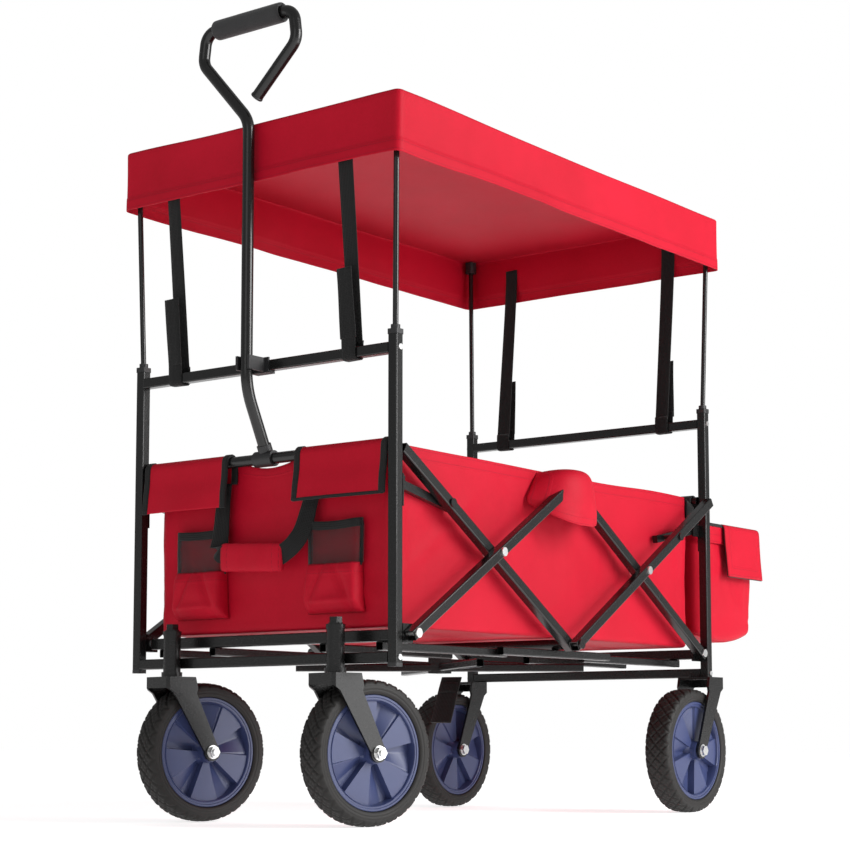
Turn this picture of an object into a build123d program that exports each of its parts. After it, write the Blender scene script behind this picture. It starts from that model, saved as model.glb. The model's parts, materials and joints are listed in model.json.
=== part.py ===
from build123d import *
import math
import os

# Folding camp wagon with a canopy. Millimetres, +Z up, -X is the pulling end.
# While it is built, x = 0 lies midway between the front and rear posts. At the end
# every piece moves along X so that the origin is under the middle of the whole wagon.

# ---- driving dimensions ----------------------------------------------------------
POST_X = 420.0            # post centres, from the middle, along the wagon
POST_Y = 240.0            # post centres, from the middle, across the wagon
POST_BOTTOM = 220.0
POST_TOP = 665.0
TUBE = 15.0               # square tube of posts, crossbars and links
TUBE_WALL = 1.2
TUBE_CORNER = 2.0
UPPER_BAR_Z = 647.0
LOWER_BAR_Z = 227.5
RIM_TUBE_Z = 515.0        # round tube that carries the end panels and the handle
RIM_TUBE_R = 8.0
RIM_TUBE_INSET = 7.0      # its centre, behind the post centres
PIVOT_INSET = 20.0        # end pivots of the links, from the post centres
LINK_BOTTOM_Z = 260.0
LINK_TOP_Z = 507.0
LINK_OVERHANG = 8.0       # link past its end pivot
PIN_R = 4.0
RUNNING = 0.05            # radial clearance of a pin or shaft in its hole
OPEN_PIVOT = 0.3          # radial clearance where a closed loop of links is opened
LANE_GAP = 1.0            # between two moving pieces side by side
PLATE = 3.0               # bracket plate
RIVET_TAIL = 1.8
RIVET_HEAD = 2.5
RIVET_HEAD_R = 6.5
STRUT_SHARE = 0.25        # strut rivet, as a share of the link from its top end
STRUT_POST_Z = 465.0      # strut bolt on the post
STRUT_DEPTH = 9.0
STRUT_HEIGHT = 12.0
STRUT_STUB = 20.0
WHEEL_R = 100.0
TYRE_WIDTH = 44.0
HUB_R = 79.0
HUB_WIDTH = 38.0
SPOKES = 5
AXLE_R = 5.0
FORK_GAP = 52.0
FORK_WALL = 4.0
FORK_CROWN_HEIGHT = 24.0
FORK_CROWN_LENGTH = 52.0
FRONT_TRAIL = 52.0        # front axle behind the swivel axis
REAR_TRAIL = 50.0         # rear axle ahead of the middle of its crown
REAR_CROWN_X = 400.0
CASTER_Y = 153.5
CASTER_REST_TURN = -13.0  # both casters stand a little turned, degrees
HOUSING_R = 12.5
HOUSING_HEIGHT = 65.0
HOUSING_BOTTOM = 208.5
STEM_R = 6.0
CANOPY_TOP = 1000.0
CANOPY_DROP = 88.0        # height of the canopy's valance
CANOPY_OVERHANG = 23.0    # valance outside the post centres
CLOTH = 2.0
POLE_R = 4.0
POLE_SPLAY = 8.0          # top of a canopy pole outside the post centre, both ways
STRAP_WIDTH = 25.0
STRAP_THICKNESS = 1.6
STRAP_FROM_POST = 75.0
STRAP_LOOSE_END = 120.0
BASKET_FLOOR_Z = 269.0
BASKET_TOP_Z = 520.0
BASKET_SIDE_GAP = 22.0    # basket side inside the post centres
SECTION_GAP = 0.6         # between basket sections that pass each other
END_SECTION = 270.0       # length of the front and rear basket sections
MIDDLE_SECTION = 300.0
END_RAIL = 285.0          # floor rails fixed to the end frames
MIDDLE_RAIL = 290.0
RAIL = 12.0
HANDLE_R = 8.5
HANDLE_WALL = 1.5
HANDLE_AHEAD = 35.0       # stem centre ahead of the post centres
HANDLE_LOW_BEND_Z = 612.0
HANDLE_TOP_BEND_Z = 1000.0
GRIP_Z = 1146.0
GRIP_HALF = 84.0
GRIP_SHOULDER = 90.0
GRIP_R = 14.5
GRIP_LENGTH = 128.0
BAG_DEPTH = 185.0
BAG_BOTTOM = 300.0
BAG_TOP = 480.0
BAG_HALF_WIDTH = 225.0
BAG_GAP = 3.0             # bag behind the rear posts
FLAP_INNER_Y = 65.0
FLAP_DROP = 52.0
POCKET_WIDTH = 92.0
POCKET_HEIGHT = 150.0
POCKET_DEPTH = 26.0
POCKET_Y = 128.0
POCKET_BOTTOM = 290.0

# ---- sizes that follow from them -------------------------------------------------
LEFT, RIGHT = -1, 1       # left is -Y, seen from the person who sits in it facing -X
FRONT, REAR = -1, 1
SIDE_NAMES = {LEFT: "left", RIGHT: "right"}
END_NAMES = {FRONT: "front", REAR: "rear"}
END_RAIL_Y = {FRONT: (204.0, 104.0), REAR: (190.0, 86.0)}   # they pass each other
HALF_TUBE = TUBE / 2
INNER_LANE = 0.0                                  # links in the plane of the posts
OUTER_LANE = TUBE + LANE_GAP                      # links outside the posts
STRUT_LANE = -(HALF_TUBE + LANE_GAP + STRUT_DEPTH / 2)
PIVOT_X = POST_X - PIVOT_INSET
LINK_RISE = LINK_TOP_Z - LINK_BOTTOM_Z
LINK_LENGTH = math.hypot(PIVOT_X, LINK_RISE)
CROSS_X = PIVOT_X / 2
CROSS_Z = (LINK_TOP_Z + LINK_BOTTOM_Z) / 2
STRUT_X = PIVOT_X * (1 - STRUT_SHARE)
STRUT_Z = LINK_TOP_Z - LINK_RISE * STRUT_SHARE
STRUT_LENGTH = math.hypot(PIVOT_X - STRUT_X, STRUT_POST_Z - STRUT_Z)
SWIVEL_X = POST_X + HALF_TUBE + HOUSING_R
CROWN_TOP = HOUSING_BOTTOM - LANE_GAP
REAR_CROWN_TOP = LOWER_BAR_Z - HALF_TUBE
FORK_OUTER = FORK_GAP / 2 + FORK_WALL
BASKET_HALF_WIDTH = POST_Y - BASKET_SIDE_GAP
BASKET_END_X = POST_X - PIVOT_INSET
FLOOR_TUBE_Z = LINK_BOTTOM_Z - 2
FLOOR_TUBE = 16.0
FLOOR_TUBE_CLEAR = HALF_TUBE + PLATE + RIVET_TAIL + 0.4
RAIL_TOP = FLOOR_TUBE_Z - FLOOR_TUBE / 2
CANOPY_BOTTOM = CANOPY_TOP - CANOPY_DROP
STRAP_TOP = CANOPY_TOP - 30.0
POLE_CAP_HEIGHT = 20.0
POLE_FOOT = 1.0
POLE_TOP = CANOPY_TOP - CLOTH - 2.0

nodes = {}


# ---- helpers ---------------------------------------------------------------------
def keep(name, *solids):
    """Store one named node, as one solid or as a group of separate solids."""
    nodes[name] = list(solids)


def box(x0, x1, y0, y1, z0, z1):
    """Box between two corners, given in any order."""
    size = Box(abs(x1 - x0), abs(y1 - y0), abs(z1 - z0))
    return Pos((x0 + x1) / 2, (y0 + y1) / 2, (z0 + z1) / 2) * size


def square_tube(length, size=TUBE, wall=TUBE_WALL):
    """Open square tube from the origin along +X."""
    inner = size - 2 * wall
    section = RectangleRounded(size, size, TUBE_CORNER) - Rectangle(inner, inner)
    return extrude(Plane.YZ * section, amount=length)


def tube_across(x, z, y0, y1, size=TUBE, wall=TUBE_WALL):
    """Square tube across the wagon, from y0 to y1."""
    return Pos(x, y0, z) * Rot(0, 0, 90) * square_tube(y1 - y0, size, wall)


def tube_upright(x, y, z0, z1):
    """Square tube standing up."""
    return Pos(x, y, z0) * Rot(0, -90, 0) * square_tube(z1 - z0)


def round_across(x, z, y0, y1, radius, bore=0.0):
    """Round bar or tube across the wagon."""
    length = abs(y1 - y0)
    shape = Cylinder(radius, length)
    if bore > 0:
        shape -= Cylinder(bore, length + 2)
    return Pos(x, (y0 + y1) / 2, z) * Rot(90, 0, 0) * shape


def hex_across(x, z, y0, y1, radius):
    """Hexagon head or nut across the wagon."""
    head = extrude(RegularPolygon(radius, 6), amount=abs(y1 - y0))
    return Pos(x, max(y0, y1), z) * Rot(90, 0, 0) * head


def lane_y(side, offset):
    """Y of a place that lies this far outside the post centres."""
    return side * (POST_Y + offset)


def rivet(x, z, side, inner, outer):
    """Rivet between two offsets from the post centres, with a head at each end."""
    shank = round_across(x, z, lane_y(side, inner - 1), lane_y(side, outer + 1), PIN_R)
    tail = round_across(x, z, lane_y(side, inner - RIVET_TAIL), lane_y(side, inner), RIVET_HEAD_R)
    cap = round_across(x, z, lane_y(side, outer), lane_y(side, outer + RIVET_HEAD), RIVET_HEAD_R)
    return shank + tail + cap


def link(x0, z0, x1, z1, side, lane, holes):
    """Link of square tube between two pivots, with a hole at each pivot given."""
    angle = math.degrees(math.atan2(z1 - z0, x1 - x0))
    length = math.hypot(x1 - x0, z1 - z0) + 2 * LINK_OVERHANG
    y = lane_y(side, lane)
    tube = Pos(x0, y, z0) * Rot(0, -angle, 0) * Pos(-LINK_OVERHANG, 0, 0) * square_tube(length)
    for x, z, radius in holes:
        tube -= round_across(x, z, y - TUBE, y + TUBE, radius)
    return tube


# ---- end frames ------------------------------------------------------------------
def posts(end):
    """Two corner posts of square tube."""
    return [tube_upright(end * POST_X, side * POST_Y, POST_BOTTOM, POST_TOP) for side in (LEFT, RIGHT)]


def crossbars(end):
    """Upper and lower crossbar, and the round rim tube, between the posts."""
    reach = POST_Y - HALF_TUBE
    upper = tube_across(end * POST_X, UPPER_BAR_Z, -reach, reach)
    lower = tube_across(end * POST_X, LOWER_BAR_Z, -reach, reach)
    rim_x = end * (POST_X - RIM_TUBE_INSET)
    rim = round_across(rim_x, RIM_TUBE_Z, -reach, reach, RIM_TUBE_R, RIM_TUBE_R - TUBE_WALL)
    return [upper, lower, rim]


def post_caps(end):
    """Sockets for the canopy poles on the posts, and plugs under the front posts."""
    caps = []
    for side in (LEFT, RIGHT):
        x, y = end * POST_X, side * POST_Y
        cap = extrude(RectangleRounded(TUBE + 2, TUBE + 2, 3), amount=7)
        cap = Pos(x, y, POST_TOP) * cap
        cap += Pos(x, y, POST_TOP + 9) * Cylinder(6.5, 8)
        cap -= pole(end, side, POLE_R + RUNNING)
        caps.append(cap)
        if end == FRONT:
            plug = extrude(RectangleRounded(TUBE + 1, TUBE + 1, 3), amount=5)
            caps.append(Pos(x, y, POST_BOTTOM - 5) * plug)
    return caps


def pole_caps(end):
    """Caps that the canopy's corners sit on."""
    caps = []
    for side in (LEFT, RIGHT):
        top = Pos(end * (POST_X + POLE_SPLAY), side * (POST_Y + POLE_SPLAY), POLE_TOP)
        cap = top * Pos(0, 0, -POLE_CAP_HEIGHT) * extrude(RectangleRounded(17, 17, 5), amount=POLE_CAP_HEIGHT)
        caps.append(cap - pole(end, side, POLE_R + RUNNING))
    return caps


def pole(end, side, radius):
    """Thin steel canopy pole, leaning out a little from its socket on the post."""
    foot = Vector(end * POST_X, side * POST_Y, POST_TOP + POLE_FOOT)
    head = Vector(end * (POST_X + POLE_SPLAY), side * (POST_Y + POLE_SPLAY), POLE_TOP - 4)
    plane = Plane(origin=foot, z_dir=head - foot)
    return extrude(plane * Circle(radius), amount=(head - foot).length)


def canopy_straps(end):
    """Two webbing straps that hold the canopy down, looped round the upper bar from behind."""
    face = POST_X + HALF_TUBE + 0.5
    back = POST_X - HALF_TUBE - 0.5
    low = UPPER_BAR_Z - HALF_TUBE - 0.5
    straps = []
    for side in (LEFT, RIGHT):
        y = side * (POST_Y - STRAP_FROM_POST)
        y0, y1 = y - STRAP_WIDTH / 2, y + STRAP_WIDTH / 2
        hem = POST_X + CANOPY_OVERHANG - CLOTH - 1
        clear = UPPER_BAR_Z + HALF_TUBE + 3
        profile = Polyline((back, low), (back, clear), (hem, STRAP_TOP), (hem - STRAP_THICKNESS, STRAP_TOP),
                           (back - STRAP_THICKNESS, clear), (back - STRAP_THICKNESS, low), close=True)
        held = Pos(0, y, 0) * extrude(Plane.XZ * make_face(profile), amount=STRAP_WIDTH / 2, both=True)
        if end == FRONT:
            held = mirror(held, about=Plane.YZ)
        loop_end = end * (face + STRAP_THICKNESS)
        under = box(end * (back - STRAP_THICKNESS), loop_end, y0, y1, low - STRAP_THICKNESS, low)
        loose = box(end * face, loop_end, y0, y1, low, low + STRAP_LOOSE_END)
        straps.append(held + under + loose)
    return straps


def link_bracket(end, side):
    """Bracket at the foot of a post that carries the lower end of a link."""
    inner_face = -HALF_TUBE if end == FRONT else -(HALF_TUBE + PLATE)
    outer_face = HALF_TUBE if end == FRONT else -(HALF_TUBE + 0.4)
    y0, y1 = lane_y(side, inner_face), lane_y(side, outer_face)
    x0, x1 = end * (POST_X - HALF_TUBE), end * (PIVOT_X - 10)
    plate = box(x0, x1, y0, y1, LINK_BOTTOM_Z - 13, LINK_BOTTOM_Z + 13)
    if end == REAR:
        foot = (lane_y(side, -(HALF_TUBE + PLATE)), lane_y(side, -HALF_TUBE))
        plate += box(POST_X + HALF_TUBE, x0, *foot, LINK_BOTTOM_Z - 13, LINK_BOTTOM_Z + 13)
    hole = round_across(end * PIVOT_X, LINK_BOTTOM_Z, y0 + side * -1, y1 + side, PIN_R + RUNNING)
    return plate - hole


def strut_bracket(end, side):
    """Bracket on the post beside the outer end of a strut."""
    y0, y1 = lane_y(side, -HALF_TUBE), lane_y(side, HALF_TUBE)
    face = POST_X - HALF_TUBE
    sleeve = box(end * face, end * (face - 2), y0, y1, STRUT_POST_Z - 34, STRUT_POST_Z + 10)
    ear_y = lane_y(side, -HALF_TUBE + 2.5)
    ear = box(end * face, end * (PIVOT_X - 8), y0, ear_y, STRUT_POST_Z - 10, STRUT_POST_Z + 10)
    return sleeve + ear


def frame_brackets(end):
    """All four brackets of one end frame."""
    solids = []
    for side in (LEFT, RIGHT):
        solids.append(link_bracket(end, side))
        solids.append(strut_bracket(end, side))
    return solids


def frame_bolts(end):
    """Pivot bolts of the link brackets and the bolts that hold the crossbars."""
    bolts = []
    for side in (LEFT, RIGHT):
        if end == FRONT:
            reach = (-HALF_TUBE, OUTER_LANE + HALF_TUBE + 0.3)
        else:
            reach = (-(HALF_TUBE + PLATE), HALF_TUBE + 0.3)
        bolts.append(rivet(end * PIVOT_X, LINK_BOTTOM_Z, side, *reach))
        outside = POST_Y + HALF_TUBE
        for z in (UPPER_BAR_Z, LOWER_BAR_Z):
            head = round_across(end * POST_X, z, side * outside, side * (outside + 2), 4.0)
            bolts.append(head)
    return bolts


# ---- floor -----------------------------------------------------------------------
def rail(x0, x1, y, top):
    """Lengthwise floor rail of small square tube."""
    return Pos(x0, y, top - RAIL / 2) * square_tube(x1 - x0, RAIL, 1.0)


def end_floor_tubes(end):
    """Cross tube between the link brackets, with four rails under it."""
    reach = POST_Y - FLOOR_TUBE_CLEAR
    tubes = [tube_across(end * PIVOT_X, FLOOR_TUBE_Z, -reach, reach, FLOOR_TUBE)]
    outer, inner = END_RAIL_Y[end]
    for y in (-outer, -inner, inner, outer):
        start = end * (PIVOT_X - END_RAIL)
        stop = end * (PIVOT_X + FLOOR_TUBE / 2)
        tubes.append(rail(min(start, stop), max(start, stop), y, RAIL_TOP))
    return tubes


def middle_floor_tubes():
    """Cross tube through the lower middle pivots, side rails, hub and crossed braces."""
    reach = POST_Y - HALF_TUBE - LANE_GAP
    shaft = round_across(0, LINK_BOTTOM_Z, -reach, reach, RIM_TUBE_R, RIM_TUBE_R - TUBE_WALL)
    for side in (LEFT, RIGHT):
        stop = POST_Y + OUTER_LANE + HALF_TUBE + 0.4
        shaft += round_across(0, LINK_BOTTOM_Z, side * (reach - 6), side * reach, RIM_TUBE_R)
        shaft += round_across(0, LINK_BOTTOM_Z, side * (reach - 2), side * stop, PIN_R)
        shaft += round_across(0, LINK_BOTTOM_Z, side * stop, side * (stop + 3), 7.5)
    rail_y = POST_Y - 22
    shaft_bottom = LINK_BOTTOM_Z - RIM_TUBE_R
    rails = [rail(-MIDDLE_RAIL / 2, MIDDLE_RAIL / 2, side * rail_y, shaft_bottom) for side in (LEFT, RIGHT)]
    brace_top = RAIL_TOP - RAIL - 2
    hub = box(-13, 13, -13, 13, brace_top - RAIL - 3, shaft_bottom + 2)
    half_x, half_y = MIDDLE_RAIL / 2 - 6, POST_Y - 62
    angle = math.degrees(math.atan2(half_y, half_x))
    span = 2 * math.hypot(half_x, half_y)
    for turn in (angle, -angle):
        brace = Rot(0, 0, turn) * Pos(-span / 2, 0, brace_top - RAIL / 2) * square_tube(span, RAIL, 1.0)
        hub += brace
    return [shaft, *rails, hub]


def closing_strap():
    """Stiff hook and loop strap that hangs under the hub and holds the folded wagon shut."""
    length, width, lean = 84.0, 38.0, 24.0
    top = RAIL_TOP - 2 * RAIL - 5.3
    strap = Box(STRAP_THICKNESS + 0.6, width, length)
    return Pos(0, 0, top) * Rot(0, -lean, 0) * Pos(0, 0, -length / 2 - 1.5) * strap


# ---- basket ----------------------------------------------------------------------
def basket_section(x0, x1, level, closed_end):
    """Length of the fabric tub. A higher level passes inside a lower one."""
    inset = level * (CLOTH + SECTION_GAP)
    half = BASKET_HALF_WIDTH - inset
    floor = BASKET_FLOOR_Z + inset
    tub = box(x0, x1, -half, half, floor, BASKET_TOP_Z)
    wall_x0 = x0 + CLOTH if closed_end == FRONT else x0 - 1
    wall_x1 = x1 - CLOTH if closed_end == REAR else x1 + 1
    return tub - box(wall_x0, wall_x1, -half + CLOTH, half - CLOTH, floor + CLOTH, BASKET_TOP_Z + 1)


def pocket(side):
    """Open pocket on the front panel."""
    x1 = -BASKET_END_X - 0.3
    x0 = x1 - POCKET_DEPTH
    y0, y1 = side * POCKET_Y - POCKET_WIDTH / 2, side * POCKET_Y + POCKET_WIDTH / 2
    top = POCKET_BOTTOM + POCKET_HEIGHT
    shell = box(x0, x1, y0, y1, POCKET_BOTTOM, top)
    return shell - box(x0 + CLOTH, x1 - CLOTH, y0 + CLOTH, y1 - CLOTH, POCKET_BOTTOM + CLOTH, top + 1)


def front_flap(side):
    """Flap of the front panel, folded forward over the rim tube."""
    x = -(POST_X - RIM_TUBE_INSET)
    reach = RIM_TUBE_R + 0.5
    outer = reach + CLOTH
    y0, y1 = side * FLAP_INNER_Y, side * (BASKET_HALF_WIDTH - 1)
    over = round_across(x, RIM_TUBE_Z, y0, y1, outer)
    over += box(x - outer, x + outer, y0, y1, RIM_TUBE_Z - FLAP_DROP, RIM_TUBE_Z)
    over -= round_across(x, RIM_TUBE_Z, y0 - side, y1 + side, reach)
    over -= box(x - reach, x + reach, y0 - side, y1 + side, RIM_TUBE_Z - FLAP_DROP - 1, RIM_TUBE_Z)
    over -= box(x, x + outer + 1, y0 - side, y1 + side, RIM_TUBE_Z - FLAP_DROP - 1, RIM_TUBE_Z - RIM_TUBE_R)
    return over


def carry_strap():
    """Webbing loop with a padded grip, for lifting the front end."""
    x0, x1 = -(POST_X + 9), -(POST_X + 9 - STRAP_THICKNESS)
    top, low, grip_half = RIM_TUBE_Z - FLAP_DROP + 12, 352.0, 52.0
    width = 28.0
    solids = []
    for side in (LEFT, RIGHT):
        y_top, y_low = side * 72.0, side * (grip_half + 4)
        points = [(y_top, top), (y_top + side * width, top), (y_low + side * width * 0.6, low)]
        points += [(y_low - side * 4, low - 16), (y_low - side * 4, low + 12)]
        face = Plane.YZ.offset(x0) * make_face(Polyline(*points, close=True))
        solids.append(extrude(face, amount=x1 - x0))
    grip = box(x0 - 5, x1 + 5, -grip_half, grip_half, low - 17, low + 17)
    return solids, grip


# ---- canopy, bag -----------------------------------------------------------------
def canopy():
    """Flat lid of fabric with a valance all round, open underneath."""
    half_x, half_y = POST_X + CANOPY_OVERHANG, POST_Y + CANOPY_OVERHANG
    lid = box(-half_x, half_x, -half_y, half_y, CANOPY_BOTTOM, CANOPY_TOP)
    inner_x, inner_y = half_x - CLOTH, half_y - CLOTH
    return lid - box(-inner_x, inner_x, -inner_y, inner_y, CANOPY_BOTTOM - 1, CANOPY_TOP - CLOTH)


def rear_bag():
    """Bag behind the rear posts, open at the top, where its lid closes it."""
    x0 = POST_X + HALF_TUBE + BAG_GAP
    x1 = x0 + BAG_DEPTH
    half = BAG_HALF_WIDTH
    shell = box(x0, x1, -half, half, BAG_BOTTOM, BAG_TOP)
    return shell - box(x0 + CLOTH, x1 - CLOTH, -half + CLOTH, half - CLOTH, BAG_BOTTOM + CLOTH, BAG_TOP + 1)


def bag_lid():
    """Lid of the bag, with a short skirt outside the bag's back and sides."""
    x0 = POST_X + HALF_TUBE + BAG_GAP
    x1 = x0 + BAG_DEPTH
    half = BAG_HALF_WIDTH
    drop, gap = 30.0, 0.6
    lid = box(x0, x1 + gap + CLOTH, -half - gap - CLOTH, half + gap + CLOTH, BAG_TOP - drop, BAG_TOP + gap + CLOTH)
    inner = box(x0 - 1, x1 + gap, -half - gap, half + gap, BAG_TOP - drop - 1, BAG_TOP + gap)
    return lid - inner


# ---- casters, forks and wheels ---------------------------------------------------
def fork(top, trail):
    """Fork with a boxy crown at the origin and its axle at x = trail."""
    half = FORK_CROWN_LENGTH / 2
    low = top - FORK_CROWN_HEIGHT
    outline = make_face(Polyline((-half, low + 8), (-half, top), (half - 4, top), (half, low + 8), (half - 2, low),
                                 (trail + 13, WHEEL_R), (trail - 13, WHEEL_R), (-half + 12, low), close=True))
    outline += Pos(trail, WHEEL_R) * Circle(13)
    outline -= Pos(trail, WHEEL_R) * Circle(AXLE_R + RUNNING)
    side = extrude(Plane.XZ * outline, amount=FORK_WALL / 2, both=True)
    shape = Pos(0, FORK_OUTER - FORK_WALL / 2, 0) * side
    shape += Pos(0, -(FORK_OUTER - FORK_WALL / 2), 0) * side
    shape += box(-half, half - 4, -FORK_OUTER, FORK_OUTER, top - FORK_WALL, top)
    shape += box(-half, -half + FORK_WALL, -FORK_OUTER, FORK_OUTER, low + 8, top)
    corner = 6.0
    for side_sign in (LEFT, RIGHT):
        cutter = Pos(-half, side_sign * FORK_OUTER, top) * Rot(0, 0, 45) * Box(corner, corner, 80)
        shape -= cutter
    return shape


def caster_fork(side):
    """Front fork with its swivel stem, washer and nut."""
    top = HOUSING_BOTTOM + HOUSING_HEIGHT
    shape = fork(CROWN_TOP, FRONT_TRAIL)
    shape += Pos(0, 0, (CROWN_TOP - 3 + top + 10) / 2) * Cylinder(STEM_R, top + 10 - CROWN_TOP + 3)
    shape += Pos(0, 0, top + 1.3) * Cylinder(10.0, 1.6)
    shape += Pos(0, 0, top + 2) * extrude(RegularPolygon(9.5, 6), amount=8)
    return place_caster(side) * shape


def caster_housing(side):
    """Swivel housing in front of the lower crossbar, with a flared foot."""
    shape = Pos(0, 0, HOUSING_HEIGHT / 2) * Cylinder(HOUSING_R, HOUSING_HEIGHT)
    shape += Pos(0, 0, 3) * Cylinder(HOUSING_R + 2.5, 6)
    shape += Pos(0, 0, HOUSING_HEIGHT - 3) * Cylinder(HOUSING_R + 1, 6)
    shape -= Pos(0, 0, HOUSING_HEIGHT / 2) * Cylinder(STEM_R + RUNNING, HOUSING_HEIGHT + 2)
    shape = Pos(-SWIVEL_X, side * CASTER_Y, HOUSING_BOTTOM) * shape
    x0, x1 = -POST_X - HALF_TUBE, -POST_X + HALF_TUBE
    reach = POST_Y - HALF_TUBE
    return shape - box(x0, x1, -reach, reach, LOWER_BAR_Z - HALF_TUBE, LOWER_BAR_Z + HALF_TUBE)


def place_caster(side):
    """Where a front fork stands at rest."""
    return Pos(-SWIVEL_X, side * CASTER_Y, 0) * Rot(0, 0, CASTER_REST_TURN)


def place_rear(side):
    """Where a rear fork stands, turned round so that its axle lies ahead of its crown."""
    return Pos(REAR_CROWN_X, side * POST_Y, 0) * Rot(0, 0, 180)


def axle():
    """Axle bolt at the origin across the fork, with head and nut."""
    reach = FORK_OUTER + 1.2
    shape = round_across(0, 0, -reach - 9, reach + 1, AXLE_R)
    shape += hex_across(0, 0, reach - 1, reach + 5, 8.5)
    shape += hex_across(0, 0, -reach - 6, -reach + 1, 8.5)
    for side in (LEFT, RIGHT):
        shape += round_across(0, 0, side * (FORK_OUTER + 0.2), side * (reach + 0.2), 10.0)
    return shape


def tyre():
    """Solid rubber tyre, upright, round the origin."""
    middle = (WHEEL_R + HUB_R) / 2
    section = Pos(middle, 0) * RectangleRounded(WHEEL_R - HUB_R, TYRE_WIDTH, 8)
    return Rot(90, 0, 0) * revolve(Plane.XZ * section, Axis.Z)


def hub():
    """Plastic hub with raised wedge spokes on a thin web."""
    rim_inner = HUB_R - 8
    shape = Cylinder(HUB_R - RUNNING, HUB_WIDTH) - Cylinder(rim_inner, HUB_WIDTH + 2)
    shape += Cylinder(rim_inner + 1, 8)
    shape += Cylinder(15, FORK_GAP - 2)
    half_step = math.radians(180 / SPOKES / 2)
    reach = rim_inner + 1
    for number in range(SPOKES):
        edge = [(reach * math.cos(t), reach * math.sin(t)) for t in (-half_step, half_step)]
        wedge = extrude(make_face(Polyline((0, 0), *edge, close=True)), amount=HUB_WIDTH / 2 - 4, both=True)
        shape += Rot(0, 0, 360 / SPOKES * number) * wedge
    shape -= Cylinder(AXLE_R + RUNNING, FORK_GAP + 2)
    return Rot(90, 0, 0) * shape


# ---- pull handle -----------------------------------------------------------------
def handle_tube():
    """Bent tube: from the rim sleeve up to a bend, and round the grip to a free end."""
    x0, z0 = -(POST_X - RIM_TUBE_INSET), RIM_TUBE_Z + RIM_TUBE_R + 3
    x = -(POST_X + HANDLE_AHEAD)
    corners = [(x0, 0, z0), (x, 0, HANDLE_LOW_BEND_Z), (x, 0, HANDLE_TOP_BEND_Z), (x, GRIP_SHOULDER, 1100),
               (x, GRIP_HALF, GRIP_Z), (x, -GRIP_HALF, GRIP_Z), (x, -GRIP_SHOULDER, 1100), (x, -16, 1032)]
    path = FilletPolyline(*corners, radius=(110, 45, 24, 20, 20, 24))
    start = Plane(origin=path @ 0, z_dir=path % 0)
    section = start * (Circle(HANDLE_R) - Circle(HANDLE_R - HANDLE_WALL))
    return sweep(section, path=path)


def handle_sleeve():
    """Sleeve that turns on the rim tube, with the socket of the stem."""
    x = -(POST_X - RIM_TUBE_INSET)
    shape = round_across(x, RIM_TUBE_Z, -17, 17, RIM_TUBE_R + 3.5)
    rise = HANDLE_LOW_BEND_Z - RIM_TUBE_Z - RIM_TUBE_R - 3
    lean = math.degrees(math.atan2(HANDLE_AHEAD + RIM_TUBE_INSET, rise))
    base = Pos(x, 0, RIM_TUBE_Z + RIM_TUBE_R + 3) * Rot(0, -lean, 0)
    shape += base * Pos(0, 0, 2) * Cylinder(HANDLE_R + 2, 16)
    shape -= base * Pos(0, 0, 8) * Cylinder(HANDLE_R + RUNNING, 16)
    return shape - round_across(x, RIM_TUBE_Z, -20, 20, RIM_TUBE_R + RUNNING)


def handle_grip():
    """Foam sleeve on the grip, and the plug of the tube's free end."""
    x = -(POST_X + HANDLE_AHEAD)
    half = GRIP_LENGTH / 2
    grip = round_across(x, GRIP_Z, -half, half, GRIP_R, HANDLE_R + RUNNING)
    lean = math.degrees(math.atan2(GRIP_SHOULDER - 16, 1100 - 1032))
    plug = Pos(x, -16, 1032) * Rot(lean - 180, 0, 0) * Pos(0, 0, 1.5) * Cylinder(HANDLE_R + 0.6, 3)
    return [grip, plug]


def handle_clip():
    """Clip on the upper crossbar that holds the stem upright."""
    x = -(POST_X + HALF_TUBE)
    tip = -(POST_X + HANDLE_AHEAD + 9)
    clip = box(x, x - 3, -19, 19, UPPER_BAR_Z - 11, UPPER_BAR_Z + 11)
    for side in (LEFT, RIGHT):
        arm = box(x, tip, side * (HANDLE_R + 0.5), side * (HANDLE_R + 4.5), UPPER_BAR_Z - 10, UPPER_BAR_Z + 10)
        clip += arm
    hook = box(x, -POST_X + HALF_TUBE, -16, 16, UPPER_BAR_Z - HALF_TUBE - 3, UPPER_BAR_Z - HALF_TUBE)
    return clip + hook


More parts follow.
